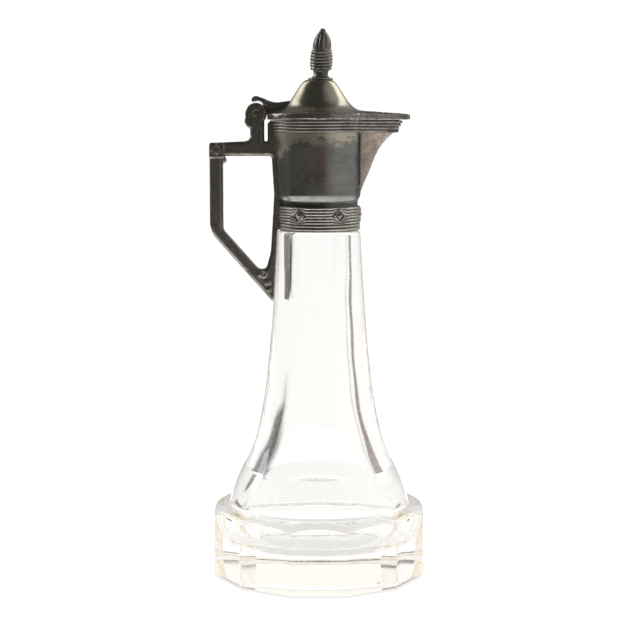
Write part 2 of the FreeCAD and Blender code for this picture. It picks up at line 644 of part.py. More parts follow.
def finial_bud():
    """The finial above its flange: a bent neck, a ringed knop and a fluted bud."""
    flange_z = DOME_Z + FINIAL_FLANGE_HEIGHT / 2
    neck_z = DOME_Z + FINIAL_NECK_RISE
    rings_z = neck_z + 0.8
    bud_z = rings_z + FINIAL_RINGS * FINIAL_RING_HEIGHT
    tip_z = DOME_Z + FINIAL_HEIGHT
    steps = [(0, flange_z), (FINIAL_FLANGE_RADIUS - 0.6, flange_z),
             ((FINIAL_FLANGE_RADIUS - 1.0, DOME_Z + FINIAL_FLANGE_HEIGHT),
              (FINIAL_NECK_RADIUS, neck_z - 1.0), (FINIAL_NECK_RADIUS, neck_z)),
             (FINIAL_RADIUS - 1.1, rings_z)]
    for index in range(FINIAL_RINGS):
        swell = math.sin(math.pi * (index + 1.6) / (FINIAL_RINGS + 2.2))
        valley = FINIAL_RADIUS - 1.1 + (1.1 - FINIAL_RING_DEPTH) * swell
        low = rings_z + index * FINIAL_RING_HEIGHT
        steps.append(((valley + FINIAL_RING_DEPTH, low + FINIAL_RING_HEIGHT / 2),
                      (valley, low + FINIAL_RING_HEIGHT)))
    bud_radius = valley - 0.2
    bud = ((bud_radius + 0.1, bud_z + 4.0), (bud_radius - 2.0, tip_z - 1.6), (0, tip_z))
    shape = turned(*steps, (bud_radius, bud_z), bud)
    flute = outline((bud_radius - FLUTE_DEPTH, bud_z + 0.4),
                    ((bud_radius - FLUTE_DEPTH, bud_z + 4.0), (bud_radius - 2.2, tip_z - 2.4),
                     (0.5, tip_z - 0.6)),
                    (FINIAL_RADIUS + 1, tip_z), (FINIAL_RADIUS + 1, bud_z + 0.4))
    for index in range(FINIAL_FLUTES):
        angle = 360 * (index + 0.5) / FINIAL_FLUTES
        shape = shape.cut(spun(slab(flute, FLUTE_WIDTH), angle))
    shape.rotate(Vector(0, 0, flange_z), ACROSS, FINIAL_LEAN)
    return shape


def finial():
    """The finial with its flange and the stud that holds it in the dome."""
    stud_z = DOME_Z - LID_WALL - WASHER_THICKNESS - NUT_HEIGHT - STUD_END
    flange = upright(FINIAL_FLANGE_RADIUS, DOME_Z, DOME_Z + FINIAL_FLANGE_HEIGHT)
    stud = upright(STUD_RADIUS, stud_z, DOME_Z + FINIAL_FLANGE_HEIGHT)
    return offset_to_hole(joined([flange, stud, finial_bud()]))


def finial_washer():
    top = DOME_Z - LID_WALL
    return offset_to_hole(tube(STUD_RADIUS, WASHER_RADIUS, top - WASHER_THICKNESS, top))


def finial_nut():
    top = DOME_Z - LID_WALL - WASHER_THICKNESS
    nut = prism(6, NUT_WIDTH / 2, top - NUT_HEIGHT, top)
    return offset_to_hole(nut.cut(upright(STUD_RADIUS, top - NUT_HEIGHT, top)))


PIECES = (glass_bottle, plaster_bed, cork_seal, throat_ring, mount_barrel, spout, rim_moulding,
          collar_band, handle, hinge_pin, lid_shell, lid_arm, finial, finial_washer, finial_nut)


def main():
    os.makedirs("parts", exist_ok=True)
    for piece in PIECES:
        shape = piece()
        solids = shape.Solids
        box = shape.BoundBox
        print(f"{piece.__name__}: {len(solids)} solid(s), valid {shape.isValid()}, "
              f"{shape.Volume / 1000:.2f} cm3, x {box.XMin:.1f} {box.XMax:.1f}, "
              f"y {box.YMin:.1f} {box.YMax:.1f}, z {box.ZMin:.1f} {box.ZMax:.1f}")
        (solids[0] if len(solids) == 1 else shape).exportStep(f"parts/{piece.__name__}.step")


main()
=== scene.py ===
"""The finished look of a small oil jug: a pressed glass bottle with a cast pewter mount.

Sizes are in millimetres in the jug's own frame: +Z up, spout to +X, handle to -X.
"""
import logging
import math
from dataclasses import dataclass
from enum import Enum
from typing import Any, Callable, Mapping, Sequence

import bmesh
import bpy
import numpy as np
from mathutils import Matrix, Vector, noise


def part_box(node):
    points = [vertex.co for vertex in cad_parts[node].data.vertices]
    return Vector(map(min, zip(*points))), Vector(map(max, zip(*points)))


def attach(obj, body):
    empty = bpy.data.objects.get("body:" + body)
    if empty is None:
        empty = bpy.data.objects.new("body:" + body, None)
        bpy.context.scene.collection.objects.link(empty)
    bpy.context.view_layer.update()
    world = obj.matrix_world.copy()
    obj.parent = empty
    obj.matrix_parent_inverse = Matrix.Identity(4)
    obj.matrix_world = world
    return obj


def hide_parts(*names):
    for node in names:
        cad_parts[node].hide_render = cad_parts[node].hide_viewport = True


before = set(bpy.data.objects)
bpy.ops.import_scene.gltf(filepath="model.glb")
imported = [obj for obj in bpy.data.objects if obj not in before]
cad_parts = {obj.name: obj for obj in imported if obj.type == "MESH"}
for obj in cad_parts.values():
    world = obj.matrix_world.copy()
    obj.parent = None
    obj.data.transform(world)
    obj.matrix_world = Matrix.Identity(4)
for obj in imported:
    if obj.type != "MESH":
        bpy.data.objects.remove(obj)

LOG = logging.getLogger("oil_jug")
MM = 0.001
TURN = 2 * math.pi

Colour = tuple[float, float, float]


class Body(Enum):
    """The two bodies of the jug, which the hinge joins."""

    JUG = "jug"
    LID = "lid"


class Finish(Enum):
    """The record's material slots."""

    GLASS = "clear_glass"
    PEWTER = "pewter"
    BRASS = "brass"
    PLASTER = "plaster"
    CORK = "cork"


# --- node trees --------------------------------------------------------------------------
class Wire:
    """A node socket that can be added, multiplied and so on, each step as a Math node."""

    def __init__(self, graph: "Graph", socket: bpy.types.NodeSocket) -> None:
        """Keeps the socket and the graph it belongs to."""
        self.graph = graph
        self.socket = socket

    def _math(self, operation: str, *values: Any) -> "Wire":
        """One Math node on these values."""
        names = ("Value", "Value_001", "Value_002")
        inputs = dict(zip(names, values))
        return self.graph.wire("ShaderNodeMath", {"operation": operation}, inputs)

    def __add__(self, other: Any) -> "Wire":
        """Sum."""
        return self._math("ADD", self, other)

    __radd__ = __add__

    def __mul__(self, other: Any) -> "Wire":
        """Product."""
        return self._math("MULTIPLY", self, other)

    __rmul__ = __mul__

    def __sub__(self, other: Any) -> "Wire":
        """Difference."""
        return self._math("SUBTRACT", self, other)

    def __rsub__(self, other: Any) -> "Wire":
        """Reflected difference."""
        return self._math("SUBTRACT", other, self)

    def __truediv__(self, other: Any) -> "Wire":
        """Quotient."""
        return self._math("DIVIDE", self, other)

    def __neg__(self) -> "Wire":
        """Opposite sign."""
        return self._math("MULTIPLY", self, -1.0)

    def __abs__(self) -> "Wire":
        """Size without sign."""
        return self._math("ABSOLUTE", self)

    def at_least(self, other: Any) -> "Wire":
        """The larger of the two."""
        return self._math("MAXIMUM", self, other)

    def at_most(self, other: Any) -> "Wire":
        """The smaller of the two."""
        return self._math("MINIMUM", self, other)

    def ramp(self, low: float, high: float) -> "Wire":
        """Rises smoothly from 0 at low to 1 at high.

        Args:
            low: The value that gives 0.
            high: The value that gives 1.

        Returns:
            The smooth step.
        """
        settings = {"interpolation_type": "SMOOTHSTEP"}
        inputs = {"Value": self, "From Min": low, "From Max": high}
        return self.graph.wire("ShaderNodeMapRange", settings, inputs)


class Graph:
    """A node tree of any kind, filled by one method."""

    def __init__(self, tree: bpy.types.NodeTree) -> None:
        """Keeps the tree."""
        self.tree = tree

    @staticmethod
    def _socket(sockets: Any, key: str) -> bpy.types.NodeSocket:
        """The socket with this identifier, or else this name."""
        for socket in sockets:
            if socket.identifier == key:
                return socket
        return sockets[key]

    def node(self, kind: str, settings: Mapping[str, Any] | None = None,
             inputs: Mapping[str, Any] | None = None) -> bpy.types.Node:
        """Adds a node.

        Args:
            kind: The node's type.
            settings: Its properties, which are set first; "stops" fills a colour ramp.
            inputs: Values or links of its sockets, by identifier or name.

        Returns:
            The node.
        """
        made = self.tree.nodes.new(kind)
        for name, value in (settings or {}).items():
            if name == "stops":
                self._fill_ramp(made.color_ramp, value)
            else:
                setattr(made, name, value)
        for name, value in (inputs or {}).items():
            socket = self._socket(made.inputs, name)
            if isinstance(value, Wire):
                self.tree.links.new(value.socket, socket)
            elif isinstance(value, bpy.types.NodeSocket):
                self.tree.links.new(value, socket)
            else:
                socket.default_value = value
        return made

    @staticmethod
    def _fill_ramp(ramp: bpy.types.ColorRamp, stops: Sequence[tuple[float, Colour]]) -> None:
        """Gives a colour ramp these stops."""
        while len(ramp.elements) < len(stops):
            ramp.elements.new(0.5)
        for element, (place, colour) in zip(ramp.elements, stops):
            element.position = place
            element.color = (*colour, 1.0)

    def wire(self, kind: str, settings: Mapping[str, Any] | None = None,
             inputs: Mapping[str, Any] | None = None, output: str = "") -> Wire:
        """Adds a node and takes one of its outputs.

        Args:
            kind: The node's type.
            settings: Its properties.
            inputs: Values or links of its sockets.
            output: The output's identifier or name; the first one if it is empty.

        Returns:
            The output, as a Wire.
        """
        made = self.node(kind, settings, inputs)
        return Wire(self, self._socket(made.outputs, output) if output else made.outputs[0])

    def mix(self, share: Any, first: Any, second: Any, blend: str = "MIX") -> Wire:
        """Mixes two colours.

        Args:
            share: How much of the second colour.
            first: The colour at 0.
            second: The colour at 1.
            blend: The blending mode.

        Returns:
            The mixed colour.
        """
        settings = {"data_type": "RGBA", "blend_type": blend, "clamp_factor": True}
        inputs = {"Factor_Float": share, "A_Color": opaque(first), "B_Color": opaque(second)}
        return self.wire("ShaderNodeMix", settings, inputs, "Result_Color")

    def vector(self, operation: str, **inputs: Any) -> Wire:
        """A Vector Math node; its inputs are given by identifier."""
        return self.wire("ShaderNodeVectorMath", {"operation": operation}, inputs)

    def axes(self, vector: Wire) -> tuple[Wire, Wire, Wire]:
        """The three components of a vector."""
        parts = self.node("ShaderNodeSeparateXYZ", None, {"Vector": vector})
        return tuple(Wire(self, parts.outputs[axis]) for axis in "XYZ")

    def grain(self, place: Wire, size: float | Colour, detail: float = 2.0,
              roughness: float = 0.5) -> Wire:
        """Noise with features of a given size.

        Args:
            place: The position that it is read at.
            size: Size of its features in millimetres, one number or one for each axis.
            detail: Octaves.
            roughness: Strength of the finer octaves.

        Returns:
            The noise, about 0.5.
        """
        if not isinstance(size, tuple):
            size = (size, size, size)
        scale = tuple(1 / (part * MM) for part in size)
        moved = self.wire("ShaderNodeMapping", None, {"Vector": place, "Scale": scale})
        inputs = {"Vector": moved, "Scale": 1.0, "Detail": detail, "Roughness": roughness}
        return self.wire("ShaderNodeTexNoise", None, inputs)

    def place(self) -> Wire:
        """The position in the piece's own frame, in metres."""
        return self.wire("ShaderNodeTexCoord", None, None, "Object")

    def bump(self, height: Wire, strength: float, depth: float) -> Wire:
        """The normal of a surface with this relief, whose depth is in millimetres."""
        inputs = {"Strength": strength, "Distance": depth * MM, "Height": height}
        return self.wire("ShaderNodeBump", None, inputs)


def opaque(colour: Any) -> Any:
    """A plain colour with its alpha; anything else as it is."""
    return (*colour, 1.0) if isinstance(colour, tuple) and len(colour) == 3 else colour


def new_material(name: str) -> tuple[bpy.types.Material, Graph, bpy.types.Node]:
    """Starts a material.

    Args:
        name: Its name.

    Returns:
        The material, its graph, and its Principled shader, linked to the surface.
    """
    material = bpy.data.materials.new(name)
    material.use_nodes = True
    material.node_tree.nodes.clear()
    graph = Graph(material.node_tree)
    shader = graph.node("ShaderNodeBsdfPrincipled")
    graph.node("ShaderNodeOutputMaterial", None, {"Surface": shader.outputs["BSDF"]})
    return material, graph, shader


def feed(graph: Graph, shader: bpy.types.Node, **inputs: Any) -> None:
    """Sets or links sockets of a shader; an underscore in a name stands for a space."""
    for name, value in inputs.items():
        socket = shader.inputs[name.replace("_", " ")]
        if isinstance(value, Wire):
            graph.tree.links.new(value.socket, socket)
        else:
            socket.default_value = opaque(value)


# --- finishes ----------------------------------------------------------------------------
@dataclass(frozen=True)
class Pewter:
    """Tarnished pewter: mottled, with dirt in its hollows and ridges lightened by rubbing and by a
    painted highlight.
    """

    name: str
    dark: Colour
    light: Colour
    stain: Colour
    roughness: tuple[float, float] = (0.28, 0.45)
    stain_share: float = 0.35
    cloud_size: float = 11.0
    brush: float = 0.0
    cast: float = 0.5
    pits: float = 0.5
    grime: float = 0.8
    # Strength of the lighter ridges: real rubbing, partly a painted highlight.
    wear_and_highlight: float = 0.6
    dirt: Colour = (0.018, 0.015, 0.012)
    # Colour of the ridges: rubbed metal, partly a painted highlight.
    rubbed_highlight: Colour = (0.62, 0.59, 0.53)

    def build(self) -> bpy.types.Material:
        """Makes the material.

        Returns:
            The material.
        """
        material, graph, shader = new_material(self.name)
        place = graph.place()
        hollow = graph.wire("ShaderNodeAttribute", {"attribute_name": "hollow"}, None, "Fac")
        cloud = graph.grain(place, self.cloud_size, 4.0, 0.55)
        patch = graph.grain(place, self.cloud_size / 3.7, 5.0, 0.6)
        fine = graph.grain(place, 0.42, 3.0, 0.6)
        speck = graph.grain(place, 0.85, 1.0, 0.5)
        lines = graph.grain(place, (26.0, 26.0, 0.16), 3.0, 0.65)
        soft_lines = graph.grain(place, (60.0, 60.0, 0.7), 2.0, 0.5)
        pit = speck.ramp(0.36, 0.28)

        tone = (0.55 * cloud + 0.3 * patch + 0.15 * fine + 0.22 * self.brush * (lines - 0.5)
                + 0.2 * self.brush * (soft_lines - 0.5)).ramp(0.36, 0.64)
        stained = (patch * 0.6 + cloud * 0.4).ramp(0.50, 0.66) * self.stain_share
        dirty = ((hollow + (fine - 0.5) * 0.5).ramp(0.12, 0.75) * self.grime
                 + pit * self.pits * 0.6).at_most(1.0)
        # Ridges get a lighter colour: real rubbing, and partly a painted highlight.
        rubbed_and_highlit = ((-hollow) + (patch - 0.5) * 0.7).ramp(0.2, 0.85) * self.wear_and_highlight

        colour = graph.mix(tone, self.dark, self.light)
        colour = graph.mix(stained, colour, self.stain)
        colour = graph.mix(rubbed_and_highlit, colour, self.rubbed_highlight)
        colour = graph.mix(dirty, colour, self.dirt)
        colour = self.marks(graph, place, colour)
        low, high = self.roughness
        rough = (low + (high - low) * (1.0 - tone) + 0.22 * dirty - 0.1 * rubbed_and_highlit
                 + (fine - 0.5) * 0.12 + self.brush * 0.16 * (lines - 0.5))
        height = (self.cast * (fine * 0.6 + patch * 0.8) - pit * self.pits
                  + self.brush * 0.12 * lines)
        feed(graph, shader, Base_Color=colour, Roughness=rough, Metallic=1.0 - 0.75 * dirty,
             Normal=graph.bump(height, 0.55, 0.09))
        return material

    def marks(self, graph: Graph, place: Wire, colour: Wire) -> Wire:
        """Adds marks that belong to one place; plain pewter has none."""
        return colour


@dataclass(frozen=True)
class BarrelPewter(Pewter):
    """Pewter of the barrel, with a pale band under the rim that is a painted reflection, a reddish
    stripe in front, and painted shade beside the seams and on the sleeve below the flare.
    """

    # A painted reflection: pale band under the rim.
    band: Colour = (0.86, 0.76, 0.60)
    reflection_band_low: float = 168.6
    stripe: Colour = (0.30, 0.19, 0.145)
    stripe_x: float = 0.4
    stripe_half: float = 2.2
    throat_z: float = 146.2
    seam_x: float = 15.6
    # Colour of the painted shade beside the seams and below the flare.
    painted_shade: Colour = (0.07, 0.065, 0.058)

    def marks(self, graph: Graph, place: Wire, colour: Wire) -> Wire:
        """Adds the painted reflection band, the stripe, the painted shade below the flare and the
        painted shade beside the seams.

        Args:
            graph: The material's graph.
            place: The position in metres.
            colour: The plain pewter's colour.

        Returns:
            The colour with its marks.
        """
        x, _, z = graph.axes(place)
        uneven = (graph.grain(place, (5.0, 5.0, 3.0), 3.0, 0.6) - 0.5) * (9 * MM)
        # Painted reflection: a pale band under the rim, reaching lower on the handle side.
        lower = (-x).ramp(9 * MM, 15 * MM) * (5 * MM)
        band = (z + uneven * 1.5 + lower).ramp((self.reflection_band_low - 1.2) * MM,
                                               (self.reflection_band_low + 2.0) * MM)
        off = abs(x - self.stripe_x * MM + uneven * 0.12)
        stripe = (off.ramp(self.stripe_half * 1.4 * MM, self.stripe_half * 0.4 * MM)
                  * (z + uneven * 0.5).ramp((self.throat_z + 2.5) * MM, (self.throat_z + 6.0) * MM))
        # Painted shade on the barrel beside the spout's seams.
        seam = (x + uneven * 0.08).ramp((self.seam_x - 2.4) * MM, (self.seam_x - 0.2) * MM)
        # Painted shade on the sleeve below the flare.
        throat_shade = (z + uneven * 0.2).ramp(self.throat_z * MM, (self.throat_z - 0.8) * MM)
        colour = graph.mix(throat_shade * 0.7, colour, self.painted_shade)
        colour = graph.mix(stripe * 0.6, colour, self.stripe)
        colour = graph.mix(band * 0.8, colour, self.band)
        return graph.mix(seam * 0.85, colour, self.painted_shade)


@dataclass(frozen=True)
class ClearGlass:
    """Pressed glass: clear, a little wavy, with a faint warm tint in its depth."""

    name: str = "pressed_glass"
    tint: Colour = (0.97, 0.93, 0.84)
    tint_density: float = 9.0
    index: float = 1.5
    clear: Colour = (1.0, 0.998, 0.99)
    hazy: Colour = (0.975, 0.98, 0.975)

    def build(self) -> bpy.types.Material:
        """Makes the material.

        Returns:
            The material.
        """
        material, graph, shader = new_material(self.name)
        place = graph.place()
        chill = graph.grain(place, (9.0, 9.0, 14.0), 1.0, 0.4)
        haze = graph.grain(place, 5.0, 5.0, 0.6)
        seeds = graph.grain(place, 0.7, 0.0).ramp(0.30, 0.24)
        feed(graph, shader, Base_Color=graph.mix(haze, self.clear, self.hazy),
             Roughness=0.012 + 0.02 * haze.ramp(0.5, 0.8), IOR=self.index,
             Transmission_Weight=1.0, Normal=graph.bump(chill + 0.25 * seeds, 0.35, 0.12))
        depth = graph.node("ShaderNodeVolumeAbsorption", None,
                           {"Color": opaque(self.tint), "Density": self.tint_density})
        output = next(n for n in graph.tree.nodes if n.type == "OUTPUT_MATERIAL")
        graph.tree.links.new(depth.outputs["Volume"], output.inputs["Volume"])
        return material


@dataclass(frozen=True)
class Matt:
    """A dull, grainy material such as plaster, cork or old brass."""

    name: str
    first: Colour
    second: Colour
    grain_size: float
    roughness: float
    metallic: float = 0.0
    relief: float = 0.08

    def build(self) -> bpy.types.Material:
        """Makes the material.

        Returns:
            The material.
        """
        material, graph, shader = new_material(self.name)
        place = graph.place()
        coarse = graph.grain(place, self.grain_size, 4.0, 0.6)
        fine = graph.grain(place, self.grain_size / 6, 3.0, 0.6)
        mask = (0.7 * coarse + 0.3 * fine).ramp(0.38, 0.62)
        feed(graph, shader, Base_Color=graph.mix(mask, self.first, self.second),
             Roughness=self.roughness + 0.2 * (fine - 0.5), Metallic=self.metallic,
             Normal=graph.bump(coarse + 0.5 * fine, 0.6, self.relief))
        return material


BARREL_PEWTER = BarrelPewter("pewter_brushed", (0.25, 0.25, 0.232), (0.42, 0.41, 0.375),
                             (0.28, 0.22, 0.17), (0.25, 0.38), stain_share=0.3, brush=0.9,
                             cast=0.12, pits=0.0, grime=0.2)
SPOUT_PEWTER = Pewter("pewter_grainy", (0.27, 0.22, 0.185), (0.56, 0.475, 0.405),
                      (0.46, 0.35, 0.28), (0.38, 0.52), stain_share=0.5, brush=0.1, cast=1.0)
DOME_PEWTER = Pewter("pewter_spun", (0.40, 0.38, 0.28), (0.62, 0.59, 0.47),
                     (0.45, 0.40, 0.27), (0.17, 0.27), stain_share=0.4, cast=0.2, pits=0.1)
CAST_PEWTER = Pewter("pewter_cast", (0.17, 0.155, 0.135), (0.36, 0.335, 0.30),
                     (0.25, 0.18, 0.14), (0.3, 0.46), cloud_size=7.0, cast=0.9, pits=0.35,
                     wear_and_highlight=0.65, grime=0.7, rubbed_highlight=(0.66, 0.63, 0.57))
# The plate's edges carry the strongest painted highlight besides rubbing.
PLATE_PEWTER = Pewter("pewter_plate", (0.20, 0.185, 0.165), (0.44, 0.41, 0.37),
                      (0.28, 0.21, 0.16), (0.26, 0.42), cloud_size=5.0, cast=1.0, pits=0.4,
                      wear_and_highlight=0.9, grime=0.75, rubbed_highlight=(0.80, 0.77, 0.71))
SOLDER = Pewter("soft_solder", (0.05, 0.046, 0.04), (0.15, 0.14, 0.125), (0.1, 0.08, 0.06),
                (0.34, 0.5), cloud_size=3.0, cast=1.0, pits=0.8, wear_and_highlight=0.2)
BRASS = Matt("dull_brass", (0.13, 0.10, 0.06), (0.30, 0.24, 0.14), 2.5, 0.42, 1.0)
PLASTER = Matt("set_plaster", (0.60, 0.57, 0.50), (0.74, 0.71, 0.64), 1.6, 0.85)
CORK = Matt("pressed_cork", (0.24, 0.14, 0.07), (0.50, 0.35, 0.20), 1.1, 0.8, 0.0, 0.2)


# --- mesh work ---------------------------------------------------------------------------
def bezier(points: Sequence[tuple[float, float]], count: int, start: float = 0.0,
           end: float = 1.0) -> np.ndarray:
    """Points along a Bezier curve.

    Args:
        points: Its control points.
        count: How many points to return.
        start: Parameter of the first one.
        end: Parameter of the last one.

    Returns:
        An array with one row for each point.
    """
    share = np.linspace(start, end, count)[:, None]
    degree = len(points) - 1
    total = np.zeros((count, len(points[0])))
    for index, point in enumerate(points):
        weight = math.comb(degree, index) * share ** index * (1 - share) ** (degree - index)
        total += weight * np.array(point, float)
    return total


def line(start: Sequence[float], end: Sequence[float], count: int) -> np.ndarray:
    """Evenly spaced points from start to end, as an array."""
    return np.linspace(np.array(start, float), np.array(end, float), count)


def arc(centre: tuple[float, float], radius: float, first: float, last: float,
        count: int) -> np.ndarray:
    """Points on an arc, as an array; its angles are in degrees."""
    angles = np.radians(np.linspace(first, last, count))
    return np.stack([centre[0] + radius * np.cos(angles),
                     centre[1] + radius * np.sin(angles)], axis=1)


def chain(*runs: np.ndarray) -> np.ndarray:
    """Runs of points one after another, with repeated points left out."""
    points = [runs[0][0]]
    for run in runs:
        for point in run:
            if np.linalg.norm(point - points[-1]) > 1e-4:
                points.append(point)
    return np.array(points)


def smooth_through(places: Sequence[float], values: Sequence[float],
                   wanted: np.ndarray) -> np.ndarray:
    """A smooth curve through given values, by cubic pieces with averaged slopes.

    Args:
        places: Where the values are given, in rising order.
        values: The values.
        wanted: Where the curve is wanted.

    Returns:
        Its values there.
    """
    x, y = np.array(places, float), np.array(values, float)
    slope = np.gradient(y, x)
    index = np.clip(np.searchsorted(x, wanted) - 1, 0, len(x) - 2)
    step = x[index + 1] - x[index]
    t = (wanted - x[index]) / step
    return ((2 * t ** 3 - 3 * t ** 2 + 1) * y[index]
            + (t ** 3 - 2 * t ** 2 + t) * step * slope[index]
            + (3 * t ** 2 - 2 * t ** 3) * y[index + 1]
            + (t ** 3 - t ** 2) * step * slope[index + 1])


def swing(x: np.ndarray) -> np.ndarray:
    """A smooth step from 0 to 1 while x goes from 0 to 1."""
    x = np.clip(x, 0.0, 1.0)
    return x * x * (3 - 2 * x)


def ripple(angle: np.ndarray, height: np.ndarray, seed: int, waves: int = 6) -> np.ndarray:
    """Slow, smooth unevenness over a turned surface.

    Args:
        angle: Angles round the axis, in radians.
        height: Heights in millimetres.
        seed: Seed of its random choices.
        waves: How many waves are added.

    Returns:
        Values from about -1 to 1.
    """
    chance = np.random.default_rng(seed)
    total = np.zeros(np.broadcast(angle, height).shape)
    for _ in range(waves):
        turns = chance.integers(1, 6)
        length = chance.uniform(18.0, 60.0)
        total += np.cos(turns * angle + height * TURN / length + chance.uniform(0, TURN))
    return total / waves


def new_object(name: str, mesh: bpy.types.Mesh) -> bpy.types.Object:
    """An object for a mesh, linked to the scene."""
    made = bpy.data.objects.new(name, mesh)
    bpy.context.scene.collection.objects.link(made)
    return made


def skin(name: str, grid: np.ndarray, ring: bool = True, loop: bool = False,
         closed: bool = True) -> bpy.types.Object:
    """A mesh from a grid of points.

    Args:
        name: The object's name.
        grid: Points in millimetres, as (columns, rows, 3).
        ring: Whether the last column is joined to the first.
        loop: Whether the last row is joined to the first.
        closed: Whether the mesh is closed, so that its faces can be turned outwards.

    Returns:
        The object.
    """
    columns, rows = grid.shape[:2]
    column = np.arange(columns if ring else columns - 1)[:, None]
    row = np.arange(rows if loop else rows - 1)[None, :]
    beside, above = (column + 1) % columns, (row + 1) % rows
    corners = [column * rows + row, beside * rows + row, beside * rows + above,
               column * rows + above]
    faces = np.stack(corners, axis=-1).reshape(-1, 4)
    mesh = bpy.data.meshes.new(name)
    mesh.from_pydata((grid.reshape(-1, 3) * MM).tolist(), [], faces.tolist())
    work = bmesh.new()
    work.from_mesh(mesh)
    bmesh.ops.remove_doubles(work, verts=work.verts, dist=2e-6)
    bmesh.ops.dissolve_degenerate(work, dist=1e-7, edges=work.edges)
    if closed:
        bmesh.ops.recalc_face_normals(work, faces=work.faces)
    work.to_mesh(mesh)
    work.free()
    return new_object(name, mesh)


def turned_grid(profile: np.ndarray, columns: int,
                push: Callable[[np.ndarray, np.ndarray], np.ndarray] | None = None) -> np.ndarray:
    """A grid made by turning a profile about the axis.

    Args:
        profile: Points (radius, height).
        columns: How many columns.
        push: Gives how far each point is moved outwards, from its angle and height.

    Returns:
        The grid.
    """
    angle = np.linspace(0, TURN, columns, endpoint=False)[:, None]
    radius, height = profile[None, :, 0], profile[None, :, 1]
    if push is not None:
        radius = radius + push(angle, height) * swing(radius / 3)
    return np.stack(np.broadcast_arrays(radius * np.cos(angle), radius * np.sin(angle), height), -1)


def evaluated(piece: bpy.types.Object) -> bpy.types.Object:
    """Turns the result of a piece's modifiers into its plain mesh.

    Args:
        piece: The object.

    Returns:
        The same object, with a plain mesh and no modifier left.
    """
    bpy.context.view_layer.update()
    graph = bpy.context.evaluated_depsgraph_get()
    mesh = bpy.data.meshes.new_from_object(piece.evaluated_get(graph))
    mesh.name = piece.name
    piece.modifiers.clear()
    piece.data = mesh
    return piece


def with_modifier(piece: bpy.types.Object, kind: str, **settings: Any) -> bpy.types.Object:
    """Adds a modifier with these settings and applies it."""
    modifier = piece.modifiers.new(kind.lower(), kind)
    for name, value in settings.items():
        setattr(modifier, name, value)
    return evaluated(piece)


def points_of(mesh: bpy.types.Mesh) -> np.ndarray:
    """The mesh's points in millimetres, one row each."""
    flat = np.empty(len(mesh.vertices) * 3)
    mesh.vertices.foreach_get("co", flat)
    return flat.reshape(-1, 3) / MM


def move_points(mesh: bpy.types.Mesh, points: np.ndarray) -> None:
    """Puts the mesh's points at new places, given in millimetres."""
    mesh.vertices.foreach_set("co", (points * MM).ravel())
    mesh.update()


def normals_of(mesh: bpy.types.Mesh) -> np.ndarray:
    """The mesh's vertex normals, one row each."""
    flat = np.empty(len(mesh.vertices) * 3)
    mesh.vertex_normals.foreach_get("vector", flat)
    return flat.reshape(-1, 3)


def roughen(piece: bpy.types.Object, height: float, size: float, seed: float,
            share: Callable[[np.ndarray], np.ndarray] | None = None) -> None:
    """Gives a piece the uneven skin of a casting.

    Args:
        piece: The object.
        height: Largest movement in millimetres.
        size: Size of the lumps in millimetres.
        seed: Shifts the pattern.
        share: How much of it applies at each point.
    """
    points, normals = points_of(piece.data), normals_of(piece.data)
    shift = Vector((seed, seed * 1.7, -seed))
    lumps = np.array([noise.fractal(Vector(point) / size + shift, 0.6, 2.1, 3) for point in points])
    amount = np.clip(lumps, -1, 1) * height
    if share is not None:
        amount = amount * share(points)
    move_points(piece.data, points + normals * amount[:, None])


def mark_hollows(mesh: bpy.types.Mesh, reach: float, rounds: int = 2) -> None:
    """Writes how hollow each point lies: 1 in a sharp groove, -1 on a sharp ridge.

    Args:
        mesh: The mesh.
        reach: Radius of curvature in millimetres that counts as sharp.
        rounds: How often the values are smoothed.
    """
    points, normals = points_of(mesh), normals_of(mesh)
    ends = np.empty(len(mesh.edges) * 2, int)
    mesh.edges.foreach_get("vertices", ends)
    first, second = ends.reshape(-1, 2).T
    step = points[second] - points[first]
    length = np.maximum(np.linalg.norm(step, axis=1), 1e-3)
    count = len(points)
    both = np.concatenate([first, second])
    weight = np.concatenate([length, length])
    bend = np.concatenate([np.einsum("ij,ij->i", step, normals[first]),
                           -np.einsum("ij,ij->i", step, normals[second])])
    total = np.bincount(both, bend * 2 / weight, count)
    value = np.clip(total / np.maximum(np.bincount(both, weight, count), 1e-6) * reach, -1.5, 1.5)
    for _ in range(rounds):
        spread = np.bincount(both, np.concatenate([value[second], value[first]]), count)
        value = 0.5 * value + 0.5 * spread / np.maximum(np.bincount(both, None, count), 1)
    write_hollow(mesh, value)


def write_hollow(mesh: bpy.types.Mesh, value: np.ndarray) -> None:
    """Stores the hollow attribute that the pewter finish reads."""
    layer = mesh.attributes.get("hollow") or mesh.attributes.new("hollow", "FLOAT", "POINT")
    layer.data.foreach_set("value", np.clip(value, -1, 1).astype(np.float32))


def hand_over(piece: bpy.types.Object, material: bpy.types.Material, body: Body, finish: Finish,
              *nodes: str, crease: float = 35.0) -> bpy.types.Object:
    """Finishes a piece: shading, material and body.

    Args:
        piece: The object, whose mesh is final.
        material: Its material.
        body: The body that it rides on.
        finish: The record's slot; not used.
        nodes: CAD nodes that it stands for.
        crease: Edges sharper than this angle, in degrees, stay sharp.

    Returns:
        The piece.
    """
    mesh = piece.data
    mesh.materials.clear()
    mesh.materials.append(material)
    mesh.polygons.foreach_set("material_index", [0] * len(mesh.polygons))
    mesh.shade_smooth()
    mesh.set_sharp_from_angle(angle=math.radians(crease))
    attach(piece, body.value)
    if nodes:
        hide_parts(*nodes)
    LOG.info("%s: %d faces on %s", piece.name, len(mesh.polygons), body.value)
    return piece


def low_mm(node: str) -> Vector:
    """Lowest corner of a CAD node, in millimetres."""
    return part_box(node)[0] / MM


def high_mm(node: str) -> Vector:
    """Highest corner of a CAD node, in millimetres."""
    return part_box(node)[1] / MM


